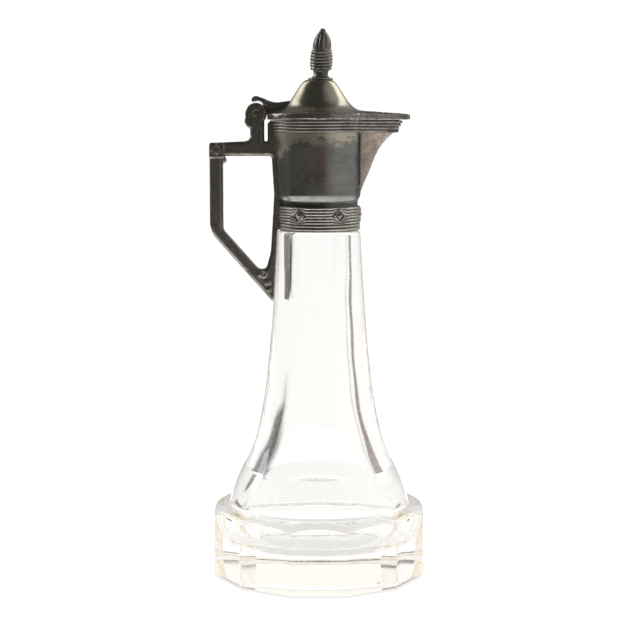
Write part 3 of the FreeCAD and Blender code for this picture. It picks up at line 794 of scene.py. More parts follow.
# --- geometry node trees -------------------------------------------------------------------
class Growth(Graph):
    """A geometry node tree with named inputs, for what repeats or follows a path."""

    KINDS = {float: "NodeSocketFloat", int: "NodeSocketInt"}

    def __init__(self, name: str, sizes: Mapping[str, float | int]) -> None:
        """Starts the tree with a geometry input, its sizes and a material input."""
        super().__init__(bpy.data.node_groups.new(name, "GeometryNodeTree"))
        face = self.tree.interface
        face.new_socket("Geometry", in_out="INPUT", socket_type="NodeSocketGeometry")
        for label, value in sizes.items():
            socket = face.new_socket(label, in_out="INPUT", socket_type=self.KINDS[type(value)])
            socket.default_value = value
        face.new_socket("Material", in_out="INPUT", socket_type="NodeSocketMaterial")
        face.new_socket("Geometry", in_out="OUTPUT", socket_type="NodeSocketGeometry")
        self.entry = self.node("NodeGroupInput")

    def given(self, label: str) -> Wire:
        """One of the tree's named inputs."""
        return Wire(self, self.entry.outputs[label])

    def close(self, geometry: Wire) -> None:
        """Ends the tree with Realize Instances and Set Material."""
        real = self.wire("GeometryNodeRealizeInstances", None, {"Geometry": geometry})
        dressed = self.wire("GeometryNodeSetMaterial", None,
                            {"Geometry": real, "Material": self.given("Material")})
        self.node("NodeGroupOutput", None, {"Geometry": dressed})

    def grow(self, piece: bpy.types.Object, material: bpy.types.Material,
             sizes: Mapping[str, float | int]) -> bpy.types.Object:
        """Runs the tree on a piece and keeps the result as its plain mesh.

        Args:
            piece: The object that gives the path or shape.
            material: The material of the result.
            sizes: Values of the named inputs.

        Returns:
            The piece.
        """
        modifier = piece.modifiers.new("growth", "NODES")
        modifier.node_group = self.tree
        for item in self.tree.interface.items_tree:
            if item.in_out == "INPUT" and item.name in sizes:
                modifier[item.identifier] = sizes[item.name]
            elif item.in_out == "INPUT" and item.name == "Material":
                modifier[item.identifier] = material
        return evaluated(piece)

    def around(self) -> tuple[Wire, Wire, Wire]:
        """The position of the point that a field is read at."""
        return self.axes(self.wire("GeometryNodeInputPosition"))

    def sweep(self, path: Wire, radius: Wire, sides: int, wobble: Wire, seed: float) -> Wire:
        """A round rod along a path, slightly uneven as a hand-finished casting is.

        Args:
            path: The curve.
            radius: The rod's radius, in metres.
            sides: Sides of its section.
            wobble: How far the path strays, in metres.
            seed: Shifts the unevenness.

        Returns:
            The rod's mesh.
        """
        place = self.wire("GeometryNodeInputPosition")
        stray = self.wire("ShaderNodeTexNoise", {"noise_dimensions": "4D"},
                          {"Vector": place, "W": seed, "Scale": 1 / (4 * MM), "Detail": 2.0},
                          "Color")
        centred = self.vector("SUBTRACT", Vector=stray, Vector_001=(0.5, 0.5, 0.5))
        offset = self.wire("ShaderNodeVectorMath", {"operation": "SCALE"},
                           {"Vector": centred, "Scale": wobble})
        moved = self.wire("GeometryNodeSetPosition", None, {"Geometry": path, "Offset": offset})
        profile = self.wire("GeometryNodeCurvePrimitiveCircle", None,
                            {"Resolution": sides, "Radius": 1.0})
        return self.wire("GeometryNodeCurveToMesh", None,
                         {"Curve": moved, "Profile Curve": profile, "Scale": radius,
                          "Fill Caps": True})


def path_object(name: str, points: np.ndarray, closed: bool = True) -> bpy.types.Object:
    """A mesh of edges along points in millimetres, for a node tree to follow."""
    mesh = bpy.data.meshes.new(name)
    count = len(points)
    edges = [(i, (i + 1) % count) for i in range(count if closed else count - 1)]
    mesh.from_pydata((points * MM).tolist(), edges, [])
    return new_object(name, mesh)


def rim_reed_tree() -> Growth:
    """Reeds that follow a plan outline, each lower one stepped in.

    Returns:
        The tree.
    """
    tree = Growth("rim_reeds", {"Count": 4, "Pitch": 1.0, "Step": 0.1, "Tip Step": 0.1,
                                "Tip From": 1.0, "Tip To": 2.0, "Reed Radius": 0.5,
                                "Wobble": 0.0})
    path = tree.wire("GeometryNodeMeshToCurve", None, {"Mesh": tree.given("Geometry")})
    copies = tree.node("GeometryNodeDuplicateElements", {"domain": "SPLINE"},
                       {"Geometry": path, "Amount": tree.given("Count")})
    index = Wire(tree, copies.outputs["Duplicate Index"])
    x, _, _ = tree.around()
    forward = tree.wire("ShaderNodeMapRange", None,
                        {"Value": x, "From Min": tree.given("Tip From"),
                         "From Max": tree.given("Tip To")})
    step = tree.given("Step") + forward * (tree.given("Tip Step") - tree.given("Step"))
    outward = tree.vector("CROSS_PRODUCT", Vector=tree.wire("GeometryNodeInputTangent"),
                          Vector_001=(0.0, 0.0, 1.0))
    inward = tree.wire("ShaderNodeVectorMath", {"operation": "SCALE"},
                       {"Vector": outward, "Scale": -(index * step)})
    down = tree.wire("ShaderNodeCombineXYZ", None, {"Z": -(index * tree.given("Pitch"))})
    offset = tree.vector("ADD", Vector=inward, Vector_001=down)
    placed = tree.wire("GeometryNodeSetPosition", None,
                       {"Geometry": copies.outputs["Geometry"], "Offset": offset})
    tree.close(tree.sweep(placed, tree.given("Reed Radius"), 12, tree.given("Wobble"), 3.0))
    return tree


def collar_reed_tree() -> Growth:
    """Reeds round the collar, which draw apart where a boss stands between them.

    Returns:
        The tree.
    """
    tree = Growth("collar_reeds", {"Count": 6, "Pitch": 1.0, "Middle": 1.0, "Reed Radius": 0.5,
                                   "Bosses": 6, "Boss Half Angle": 0.2, "Boss Half Height": 1.0,
                                   "Band Half Height": 3.0, "Squeeze": 0.5, "Wobble": 0.0})
    path = tree.wire("GeometryNodeMeshToCurve", None, {"Mesh": tree.given("Geometry")})
    copies = tree.node("GeometryNodeDuplicateElements", {"domain": "SPLINE"},
                       {"Geometry": path, "Amount": tree.given("Count")})
    index = Wire(tree, copies.outputs["Duplicate Index"])
    level = (index - (tree.given("Count") - 1) * 0.5) * tree.given("Pitch")
    x, y, _ = tree.around()
    angle = tree.wire("ShaderNodeMath", {"operation": "ARCTAN2"}, {"Value": y, "Value_001": x})
    spacing = tree.wire("ShaderNodeMath", {"operation": "DIVIDE"},
                        {"Value": TURN, "Value_001": tree.given("Bosses")})
    away = tree.wire("ShaderNodeMath", {"operation": "PINGPONG"},
                     {"Value": angle + TURN, "Value_001": spacing * 0.5})
    near = (1.0 - away / tree.given("Boss Half Angle")).at_least(0.0)
    pushed = near * tree.given("Boss Half Height") * tree.given("Squeeze")
    room = (tree.given("Band Half Height") - pushed) / tree.given("Band Half Height")
    side = tree.wire("ShaderNodeMath", {"operation": "SIGN"}, {"Value": level})
    squeezed = side * pushed + level * room
    lift = tree.wire("ShaderNodeCombineXYZ", None, {"Z": tree.given("Middle") + squeezed})
    placed = tree.wire("GeometryNodeSetPosition", None,
                       {"Geometry": copies.outputs["Geometry"], "Offset": lift})
    radius = tree.given("Reed Radius") * (0.35 + 0.65 * room)
    tree.close(tree.sweep(placed, radius, 10, tree.given("Wobble"), 7.0))
    return tree


def ring_array_tree() -> Growth:
    """Copies of a piece that faces +X, evenly spaced round the axis.

    Returns:
        The tree.
    """
    tree = Growth("ring_array", {"Count": 6})
    places = tree.wire("GeometryNodePoints", None, {"Count": tree.given("Count")})
    index = tree.wire("GeometryNodeInputIndex")
    turn = tree.wire("ShaderNodeCombineXYZ", None, {"Z": index * TURN / tree.given("Count")})
    tree.close(tree.wire("GeometryNodeInstanceOnPoints", None,
                         {"Points": places, "Instance": tree.given("Geometry"),
                          "Rotation": turn}))
    return tree


def bead_tree() -> Growth:
    """A bead of solder along a seam, of uneven thickness.

    Returns:
        The tree.
    """
    tree = Growth("solder_bead", {"Bead Radius": 0.3, "Unevenness": 0.5, "Wobble": 0.0})
    path = tree.wire("GeometryNodeMeshToCurve", None, {"Mesh": tree.given("Geometry")})
    place = tree.wire("GeometryNodeInputPosition")
    lumps = tree.wire("ShaderNodeTexNoise", {"noise_dimensions": "4D"},
                      {"Vector": place, "W": 5.0, "Scale": 1 / (2.2 * MM), "Detail": 2.0})
    swell = tree.wire("GeometryNodeInputNamedAttribute", {"data_type": "FLOAT"},
                      {"Name": "swell"}, "Attribute")
    radius = tree.given("Bead Radius") * (swell + tree.given("Unevenness") * (lumps - 0.5))
    tree.close(tree.sweep(path, radius, 10, tree.given("Wobble"), 11.0))
    return tree


# --- the bottle ----------------------------------------------------------------------------
@dataclass
class Bottle:
    """The pressed glass bottle, with a twelve-sided foot that is round above."""

    sides: int = 12
    shoulder_from: float = 23.6
    shoulder_top: float = 28.0
    shoulder_width: float = 5.4
    edge_round: float = 2.4
    corner_sharpness: float = 260.0
    punt_radius: float = 33.0
    punt_depth: float = 1.4
    body_top: float = 134.6
    body_top_radius: float = 16.0
    neck_radius: float = 13.07
    groove_depth: float = 0.57
    groove_middle: float = 139.0
    groove_width: float = 2.5
    lip_round: float = 0.7
    bore_radius: float = 10.9
    floor: float = 12.5
    cavity_radius: float = 31.0
    cavity_widest: float = 21.5
    columns_per_side: int = 22
    hollow_points: int = 133
    unevenness: float = 0.16

    def __post_init__(self) -> None:
        """Takes the foot's width and the lip's height from the frame."""
        self.apothem = high_mm("glass_bottle").x
        self.corner = self.apothem / math.cos(math.pi / self.sides)
        self.lip = high_mm("glass_bottle").z

    def angles(self) -> np.ndarray:
        """Angles of the columns, closer together near the foot's corners."""
        share = np.linspace(-1, 1, self.columns_per_side, endpoint=False)
        half = math.pi / self.sides
        warped = half * np.sin(share * math.pi / 2)
        return np.concatenate([2 * half * side + warped for side in range(self.sides)])

    def reach(self, angle: float) -> float:
        """How far the foot's rounded polygon reaches at this angle."""
        facing = [max(math.cos(angle - TURN * side / self.sides), 0.0)
                  for side in range(self.sides)]
        power = sum(part ** self.corner_sharpness for part in facing)
        return self.apothem / power ** (1 / self.corner_sharpness)

    def profile(self, reach: float) -> np.ndarray:
        """The whole outline at one angle, from the punt's middle round to the floor's.

        Args:
            reach: The foot's reach at that angle.

        Returns:
            Points (radius, height), always equally many.
        """
        foot = self.apothem - self.shoulder_width
        shoulder = ((self.corner + 0.5, self.shoulder_from),
                    (self.corner - 0.6, self.shoulder_from + 3.2),
                    (foot + 3.6, self.shoulder_top - 0.1), (foot, self.shoulder_top))
        samples = bezier(shoulder, 400)
        meets = float(np.interp(-reach, -samples[:, 0], np.linspace(0, 1, 400)))
        top = float(np.interp(-reach, -samples[:, 0], samples[:, 1]))
        rise = self.body_top - self.shoulder_top
        body = ((foot, self.shoulder_top),
                (foot - 7.6, self.shoulder_top + 0.26 * rise),
                (self.body_top_radius + 5.2, self.shoulder_top + 0.05 * rise),
                (self.body_top_radius, self.body_top - 1.2))
        over, under = bezier(shoulder, 1, meets + 0.07)[0], bezier(shoulder, 1, 0.93)[0]
        leaves = bezier(body, 1, 0.014)[0]
        wide, floor = self.cavity_radius, self.floor
        widest, neck, gap = self.cavity_widest, self.neck_radius, self.groove_width / 2
        inner_rise = self.body_top - widest
        runs = [
            bezier(((0, self.punt_depth), (self.punt_radius / 2, self.punt_depth),
                    (self.punt_radius - 2, self.punt_depth), (self.punt_radius, 0)), 14),
            line((self.punt_radius, 0), (reach - self.edge_round, 0), 5)[1:],
            arc((reach - self.edge_round, self.edge_round), self.edge_round, -90, 0, 9)[1:],
            line((reach, self.edge_round), (reach, top - 0.6), 12)[1:],
            bezier(((reach, top - 0.6), (reach, top), tuple(over)), 6)[1:],
            bezier(shoulder, 12, meets + 0.07, 0.93)[1:],
            bezier((tuple(under), (foot, self.shoulder_top), tuple(leaves)), 6)[1:],
            bezier(body, 90, 0.014, 1.0)[1:],
            bezier(((self.body_top_radius, self.body_top - 1.2),
                    (self.body_top_radius, self.body_top - 0.4),
                    (self.body_top_radius - 0.4, self.body_top),
                    (self.body_top_radius - 1.2, self.body_top)), 6)[1:],
            line((self.body_top_radius - 1.2, self.body_top), (neck, self.body_top), 3)[1:],
            line((neck, self.body_top), (neck, self.groove_middle - gap), 4)[1:],
            line((neck - self.groove_depth, self.groove_middle - gap),
                 (neck - self.groove_depth, self.groove_middle + gap), 3),
            line((neck, self.groove_middle + gap), (neck, self.lip - self.lip_round), 3),
            bezier(((neck, self.lip - self.lip_round), (neck, self.lip),
                    (neck - self.lip_round, self.lip)), 4)[1:],
            line((neck - self.lip_round, self.lip), (self.bore_radius, self.lip), 3)[1:],
            line((self.bore_radius, self.lip), (self.bore_radius, self.body_top), 6)[1:],
            bezier(((self.bore_radius, self.body_top),
                    (self.bore_radius - 0.8, widest + 0.38 * inner_rise),
                    (self.bore_radius + 4.6, widest + 0.28 * inner_rise),
                    (wide - 8.8, widest + 17.5)), 80)[1:],
            bezier(((wide - 8.8, widest + 17.5), (wide - 3.5, widest + 11.0),
                    (wide, widest + 6.0), (wide, widest)), 26)[1:],
            bezier(((wide, widest), (wide, widest - 4.4), (wide - 3.4, floor),
                    (wide - 9.0, floor)), 18)[1:],
            line((wide - 9.0, floor), (0, floor), 9)[1:],
        ]
        return np.concatenate(runs)

    def build(self) -> bpy.types.Object:
        """Makes the glass.

        Returns:
            The piece.
        """
        angles = self.angles()
        profiles = np.array([self.profile(self.reach(angle)) for angle in angles])
        radius, height = profiles[..., 0], profiles[..., 1]
        inside = np.arange(radius.shape[1]) >= radius.shape[1] - self.hollow_points
        turn = angles[:, None]
        fade = swing(radius / 12) * swing((self.body_top - height) / 12)
        wave = np.where(inside, ripple(turn, height, 4) * self.unevenness,
                        ripple(turn, height, 9) * self.unevenness * 0.3
                        * swing((height - self.shoulder_top) / 10))
        radius = radius + wave * fade
        grid = np.stack([radius * np.cos(turn), radius * np.sin(turn), height], axis=-1)
        piece = skin("bottle_glass", grid)
        return hand_over(piece, ClearGlass().build(), Body.JUG, Finish.GLASS, "glass_bottle",
                         crease=50.0)


# --- the mount -----------------------------------------------------------------------------
def lozenge(name: str, half_width: float, half_height: float, frame_width: float, base: float,
            face: float, point: float, middle: float) -> bpy.types.Object:
    """A lozenge boss facing +X: a thin raised frame, a groove and a four-sided point.

    Args:
        name: The object's name.
        half_width: Half its width, along Y.
        half_height: Half its height.
        frame_width: Width of the frame.
        base: Where its root lies, on X.
        face: Where its frame's face lies, on X.
        point: How far its point stands above the frame.
        middle: The height of its middle.

    Returns:
        The object.
    """
    groove, groove_floor = frame_width + 0.12, face - 0.34
    rings = [(0.0, 0.0, base), (1.0, 0.0, base), (1.0, 0.0, face - 0.2),
             (1.0, 0.08, face - 0.05), (1.0, 0.18, face), (1.0, frame_width - 0.1, face),
             (1.0, frame_width, face - 0.06), (1.0, groove, groove_floor),
             (1.0, groove + 0.14, groove_floor), (0.0, 0.0, face + point)]
    corners = ((1, 0), (0, 1), (-1, 0), (0, -1))
    diagonal = 1.41
    grid = []
    for index, (across, up) in enumerate(corners):
        after = corners[(index + 1) % 4]
        for part in np.linspace(0, 1, 8, endpoint=False):
            y, z = across + (after[0] - across) * part, up + (after[1] - up) * part
            grid.append([(x, y * (half_width - inset * diagonal) * share,
                          middle + z * (half_height - inset * diagonal) * share)
                         for share, inset, x in rings])
    return skin(name, np.array(grid))


@dataclass
class Mount:
    """Barrel, spout, rim and collar, all of pewter."""

    wall: float = 0.9
    sleeve_radius: float = 15.0
    throat_z: float = 145.9
    flare_rise: float = 2.7
    flare_radius: float = 16.05
    mouth_radius: float = 18.2
    seam_x: float = 15.6
    spout_nose: float = 1.3
    spout_drops: tuple[float, ...] = (0.0, 4.7, 7.6, 10.7, 19.1, 25.5, 28.0)
    spout_proud: tuple[float, ...] = (13.0, 10.8, 8.0, 6.0, 2.9, 0.6, -0.3)
    notch_drop: float = 25.5
    barrel_columns: int = 220
    dent: float = 0.07

    rim_reeds: int = 4
    rim_pitch: float = 1.15
    rim_proud: float = 0.9
    rim_step: float = 0.2
    rim_tip_proud: float = 1.0
    rim_tip_step: float = 0.62

    plain_pitch: float = 1.25
    plain_rings: int = 2
    fine_pitch: float = 1.1
    fine_reeds: int = 6
    collar_radius: float = 15.5
    collar_proud: float = 0.5
    bosses: int = 6
    boss_half_width: float = 2.7
    boss_half_height: float = 2.8
    boss_frame: float = 0.42
    boss_proud: float = 0.2
    boss_point: float = 0.42

    def __post_init__(self) -> None:
        """Takes the heights of the mount from the frame."""
        self.sleeve_z = low_mm("mount_barrel").z
        self.mouth_z = high_mm("mount_barrel").z
        self.collar_z = low_mm("collar_band").z
        self.spout_tip = self.mouth_radius + self.spout_proud[0]

    def wall_profile(self) -> np.ndarray:
        """The barrel's outside from its sleeve's end to its mouth."""
        sleeve, flare, mouth = self.sleeve_radius, self.flare_radius, self.mouth_radius
        flare_z = self.throat_z + self.flare_rise
        third = (self.mouth_z - flare_z) / 3
        return chain(
            line((sleeve, self.sleeve_z), (sleeve, self.throat_z), 8),
            bezier(((sleeve, self.throat_z), (sleeve, self.throat_z + 1.1),
                    (flare - 0.3, flare_z - 1.4), (flare, flare_z)), 12),
            bezier(((flare, flare_z), (flare + 0.45, flare_z + third),
                    (mouth - 0.9, self.mouth_z - third), (mouth, self.mouth_z)), 44))

    def radius_at(self, z: np.ndarray | float) -> np.ndarray:
        """The barrel's outside radius at these heights."""
        profile = self.wall_profile()
        return np.interp(z, profile[:, 1], profile[:, 0])

    def barrel(self, material: bpy.types.Material) -> bpy.types.Object:
        """The barrel, open at the front where the spout is soldered on.

        Args:
            material: Its finish.

        Returns:
            The piece.
        """
        profile = self.wall_profile()
        radius, height = profile.T
        half = np.sqrt(np.maximum(radius ** 2 - self.seam_x ** 2, 0.1)) - 1.1 * self.wall
        open_angle = np.where(height > self.mouth_z - self.notch_drop,
                              np.arcsin(np.clip(half / radius, 0, 1)), 0.0)
        share = np.linspace(0, 1, self.barrel_columns)[:, None]
        angle = open_angle + share * (TURN - 2 * open_angle)
        dents = ripple(angle, height[None, :], 21) * self.dent
        bulge = radius + dents * swing((height - self.throat_z - 3) / 6)
        grid = np.stack([bulge * np.cos(angle), bulge * np.sin(angle),
                         np.broadcast_to(height, angle.shape)], axis=-1)
        piece = skin("barrel_shell", grid, ring=False, closed=False)
        with_modifier(piece, "SOLIDIFY", thickness=self.wall * MM, offset=-1.0)
        mark_hollows(piece.data, 0.8)
        return hand_over(piece, material, Body.JUG, Finish.PEWTER, "mount_barrel")

    @staticmethod
    def nose_touch(knee: np.ndarray, tip: float, nose: float) -> tuple[np.ndarray, float]:
        """Where a straight flank from the knee meets a round nose.

        Args:
            knee: The flank's start, in plan.
            tip: The nose's front, on X.
            nose: The nose's radius.

        Returns:
            The point where they meet, and its angle on the nose in degrees.
        """
        centre = np.array([tip - nose, 0.0])
        reach = np.linalg.norm(knee - centre)
        lean = math.atan2(knee[1], knee[0] - centre[0]) - math.acos(min(nose / reach, 1.0))
        touch = centre + nose * np.array([math.cos(lean), math.sin(lean)])
        return touch, math.degrees(lean)

    def flank(self, drop: float, proud: float) -> np.ndarray:
        """One level of the spout: root, flank, round nose, flank and root.

        Args:
            drop: Depth below the mouth.
            proud: How far its ridge stands out from the barrel.

        Returns:
            Points in plan with their height.
        """
        z = self.mouth_z - drop
        radius = float(self.radius_at(z))
        half = math.sqrt(radius ** 2 - self.seam_x ** 2)
        tip = radius + proud
        nose = min(self.spout_nose, half / 3)
        knee = np.array([min(self.seam_x, tip - nose), half])
        touch, lean = self.nose_touch(knee, tip, nose)
        flank = chain(line(knee - (0.5, 0.12), knee, 3), line(knee, touch, 20))
        upper = np.concatenate([flank, arc((tip - nose, 0.0), nose, lean, 0, 8)[1:]])
        plan = np.concatenate([upper, (upper * (1, -1))[-2::-1]])
        return np.column_stack([plan, np.full(len(plan), z)])

    def spout(self, material: bpy.types.Material) -> bpy.types.Object:
        """The spout, a folded sheet that narrows down the barrel's front.

        Args:
            material: Its finish.

        Returns:
            The piece.
        """
        drops = np.linspace(0.0, self.spout_drops[-1], 76)
        proud = smooth_through(self.spout_drops, self.spout_proud, drops)
        grid = np.array([self.flank(drop, out) for drop, out in zip(drops, proud)])
        piece = skin("spout_shell", grid, ring=False, closed=False)
        with_modifier(piece, "SOLIDIFY", thickness=self.wall * MM, offset=1.0)
        mark_hollows(piece.data, 0.8)
        roughen(piece, 0.05, 1.1, 2.0)
        return hand_over(piece, material, Body.JUG, Finish.PEWTER, "spout")

    def seams(self, material: bpy.types.Material) -> bpy.types.Object:
        """The two solder seams between spout and barrel.

        Args:
            material: The solder's finish.

        Returns:
            The piece.
        """
        drops = np.linspace(4.2, 24.5, 70)
        proud = smooth_through(self.spout_drops, self.spout_proud, drops)
        knees = []
        for drop, out in zip(drops, proud):
            z = self.mouth_z - drop
            radius = float(self.radius_at(z))
            tip = radius + out
            half = math.sqrt(radius ** 2 - self.seam_x ** 2)
            x = min(self.seam_x, tip - min(self.spout_nose, half / 3))
            knees.append((x + 0.1, half + 0.12, z))
        side = np.array(knees)
        points = np.concatenate([side, side * (1, -1, 1)])
        count = len(side)
        edges = [(i, i + 1) for i in range(2 * count - 1) if i != count - 1]
        mesh = bpy.data.meshes.new("solder_seams")
        mesh.from_pydata((points * MM).tolist(), edges, [])
        swell = 0.8 + 1.5 * np.exp(-((drops - drops[0]) / 0.8) ** 2)
        layer = mesh.attributes.new("swell", "FLOAT", "POINT")
        layer.data.foreach_set("value", np.tile(swell, 2).astype(np.float32))
        piece = new_object("solder_seams", mesh)
        sizes = {"Bead Radius": 0.5 * MM, "Unevenness": 0.8, "Wobble": 0.15 * MM}
        bead_tree().grow(piece, material, sizes)
        mark_hollows(piece.data, 0.6)
        return hand_over(piece, material, Body.JUG, Finish.PEWTER)

    def teardrop(self, radius: float, tip: float, nose: float, back: int = 170,
                 flank: int = 26) -> np.ndarray:
        """A plan outline: a circle whose front is drawn out to a blunt tip.

        Args:
            radius: The circle's radius.
            tip: The tip's x.
            nose: The tip's own radius.
            back: Points on the circle.
            flank: Points on each flank.

        Returns:
            Points in plan, counter-clockwise from the spout's knee round the back.
        """
        knee = np.array([self.seam_x, math.sqrt(radius ** 2 - self.seam_x ** 2)])
        touch, lean = self.nose_touch(knee, tip, nose)
        first = math.degrees(math.atan2(knee[1], knee[0]))
        return np.concatenate([
            arc((0.0, 0.0), radius, first, 360 - first, back),
            line(knee * (1, -1), touch * (1, -1), flank)[1:],
            arc((tip - nose, 0.0), nose, -lean, lean, 13)[1:],
            line(touch, knee, flank)[1:-1]])

    def rim(self, material: bpy.types.Material) -> list[bpy.types.Object]:
        """The reeded moulding round the mouth and the spout's lips.

        Args:
            material: Its finish.

        Returns:
            The band behind the reeds, and the reeds.
        """
        low = self.mouth_z - self.rim_reeds * self.rim_pitch
        reed = self.rim_pitch / 2

        def level(proud: float, tip: float, z: float) -> np.ndarray:
            """The band's outline at one height."""
            plan = self.teardrop(self.mouth_radius + proud, self.spout_tip + tip,
                                 max(self.spout_nose + proud, 0.6))
            return np.column_stack([plan, np.full(len(plan), z)])

        drop = (self.rim_reeds - 1) * self.rim_step
        tip_drop = (self.rim_reeds - 1) * self.rim_tip_step
        out, tip = self.rim_proud - reed, self.rim_tip_proud - reed
        rows = [level(-0.4, -0.5, low + 0.2), level(out - drop, tip - tip_drop, low + 0.1),
                level(out, tip, self.mouth_z - 0.5),
                level(out - 0.1, tip - 0.1, self.mouth_z - 0.1),
                level(out - 0.4, tip - 0.4, self.mouth_z), level(-0.4, -0.5, self.mouth_z)]
        band = skin("rim_band", np.stack(rows, axis=1), loop=True)
        write_hollow(band.data, np.where(points_of(band.data)[:, 2] < self.mouth_z - 0.3, 0.7, 0.0))
        hand_over(band, material, Body.JUG, Finish.PEWTER, "rim_moulding")

        top = self.teardrop(self.mouth_radius + self.rim_proud - reed,
                            self.spout_tip + self.rim_tip_proud - reed,
                            self.spout_nose + self.rim_proud - reed)
        points = np.column_stack([top, np.full(len(top), self.mouth_z - reed)])
        path = path_object("rim_reeds", points)
        sizes = {"Count": self.rim_reeds, "Pitch": self.rim_pitch * MM, "Step": self.rim_step * MM,
                 "Tip Step": self.rim_tip_step * MM, "Tip From": self.seam_x * MM,
                 "Tip To": self.spout_tip * MM, "Reed Radius": (reed + 0.02) * MM,
                 "Wobble": 0.12 * MM}
        rim_reed_tree().grow(path, material, sizes)
        points = points_of(path.data)
        phase = np.abs(((self.mouth_z - points[:, 2]) / self.rim_pitch) % 1.0 - 0.5) * 2
        write_hollow(path.data, -0.75 + 1.7 * phase ** 1.5)
        return [band, hand_over(path, material, Body.JUG, Finish.PEWTER)]

    def collar(self, material: bpy.types.Material) -> list[bpy.types.Object]:
        """The reeded collar with its six bosses.

        Args:
            material: Its finish.

        Returns:
            Its sleeve with the plain rings, its fine reeds and its bosses.
        """
        plain_top = self.collar_z + self.plain_rings * self.plain_pitch
        top = plain_top + self.fine_reeds * self.fine_pitch
        middle = (plain_top + top) / 2
        outside = [line((self.sleeve_radius, self.collar_z),
                        (self.collar_radius, self.collar_z), 2)]
        for index in range(self.plain_rings):
            low = self.collar_z + index * self.plain_pitch
            share = np.linspace(0, 1, 9)
            swell = np.sin(share * math.pi) ** 0.7 * self.collar_proud
            outside.append(np.column_stack([self.collar_radius + swell,
                                            low + share * self.plain_pitch]))
        outside += [line((self.collar_radius, plain_top), (self.collar_radius, top - 0.1), 14),
                    line((self.collar_radius - 0.15, top), (self.sleeve_radius, top), 2),
                    line((self.sleeve_radius, top), (self.sleeve_radius, self.collar_z), 6)[1:-1]]
        profile = chain(*outside)
        grid = turned_grid(profile, 240, lambda angle, height: ripple(angle, height, 33) * 0.05)
        sleeve = skin("collar_sleeve", grid, loop=True)
        points = points_of(sleeve.data)
        depth = np.hypot(points[:, 0], points[:, 1]) - self.collar_radius
        write_hollow(sleeve.data, 0.8 - 1.7 * depth / self.collar_proud)
        hand_over(sleeve, material, Body.JUG, Finish.PEWTER, "collar_band")

        reed = self.fine_pitch / 2
        line_radius = self.collar_radius + self.collar_proud - reed + 0.04
        circle = arc((0.0, 0.0), line_radius, 0, 360, 361)[:-1]
        path = path_object("collar_reeds", np.column_stack([circle, np.zeros(len(circle))]))
        sizes = {"Count": self.fine_reeds, "Pitch": self.fine_pitch * MM, "Middle": middle * MM,
                 "Reed Radius": reed * MM, "Bosses": self.bosses,
                 "Boss Half Angle": 1.25 * self.boss_half_width / self.collar_radius,
                 "Boss Half Height": self.boss_half_height * MM,
                 "Band Half Height": (top - plain_top) / 2 * MM, "Squeeze": 0.62,
                 "Wobble": 0.16 * MM}
        collar_reed_tree().grow(path, material, sizes)
        points = points_of(path.data)
        depth = np.hypot(points[:, 0], points[:, 1]) - self.collar_radius
        write_hollow(path.data, 0.75 - 1.55 * depth / self.collar_proud)
        reeds = hand_over(path, material, Body.JUG, Finish.PEWTER)

        boss = lozenge("collar_bosses", self.boss_half_width, self.boss_half_height,
                       self.boss_frame, self.collar_radius - 0.4,
                       self.collar_radius + self.collar_proud + self.boss_proud,
                       self.boss_point, middle)
        ring_array_tree().grow(boss, material, {"Count": self.bosses})
        points = points_of(boss.data)
        depth = np.hypot(points[:, 0], points[:, 1]) - (self.collar_radius + self.collar_proud)
        write_hollow(boss.data, 0.5 - 2.6 * depth / (self.boss_proud + 0.1))
        return [sleeve, reeds, hand_over(boss, material, Body.JUG, Finish.PEWTER, crease=22.0)]


# --- castings that keep the CAD shape ------------------------------------------------------
@dataclass
class Casting:
    """A solid casting: the CAD shape with soft edges, an uneven skin and added relief."""

    name: str
    node: str
    body: Body
    grain: float
    skin_height: float
    seed: float

    def blank(self) -> bpy.types.Object:
        """A merged copy of the CAD node."""
        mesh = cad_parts[self.node].data.copy()
        mesh.materials.clear()
        for name in [layer.name for layer in mesh.attributes if not layer.is_required]:
            if name in mesh.attributes and not mesh.attributes[name].is_internal:
                mesh.attributes.remove(mesh.attributes[name])
        work = bmesh.new()
        work.from_mesh(mesh)
        bmesh.ops.remove_doubles(work, verts=work.verts, dist=1e-6)
        work.to_mesh(mesh)
        work.free()
        return new_object(self.name, mesh)

    def cast(self, extras: Sequence[bpy.types.Object], material: bpy.types.Material
             ) -> bpy.types.Object:
        """Casts the copy and its relief as one skin.

        Args:
            extras: Closed meshes that are cast on to it; they are used up.
            material: Its finish.

        Returns:
            The piece.
        """
        piece = self.blank()
        work = bmesh.new()
        work.from_mesh(piece.data)
        for extra in extras:
            work.from_mesh(extra.data)
            bpy.data.objects.remove(extra)
        work.to_mesh(piece.data)
        work.free()
        with_modifier(piece, "REMESH", mode="VOXEL", voxel_size=self.grain * MM, adaptivity=0.0)
        with_modifier(piece, "SMOOTH", factor=0.5, iterations=3)
        roughen(piece, self.skin_height, 1.6, self.seed)
        roughen(piece, self.skin_height * 0.5, 0.6, self.seed + 9)
        move_points(piece.data, np.clip(points_of(piece.data), low_mm(self.node),
                                        high_mm(self.node)))
        mark_hollows(piece.data, 0.7, 3)
        return hand_over(piece, material, self.body, Finish.PEWTER, self.node, crease=70.0)


def rod(name: str, points: np.ndarray, radius: float, sides: int = 8) -> bpy.types.Object:
    """A closed round rod along points in millimetres, tapered at both ends.

    Args:
        name: The object's name.
        points: The points of its centre line.
        radius: Its radius.
        sides: Sides of its section.

    Returns:
        The object.
    """
    tangent = np.gradient(points, axis=0)
    tangent /= np.linalg.norm(tangent, axis=1)[:, None]
    across = np.array([0.0, 1.0, 0.0])
    second = np.cross(tangent, across)
    taper = swing(np.minimum(np.arange(len(points)), np.arange(len(points))[::-1]) / 5)
    rings = []
    for angle in np.linspace(0, TURN, sides, endpoint=False):
        push = math.cos(angle) * across + math.sin(angle) * second
        rings.append(points + push * (radius * taper)[:, None])
    return skin(name, np.array(rings))


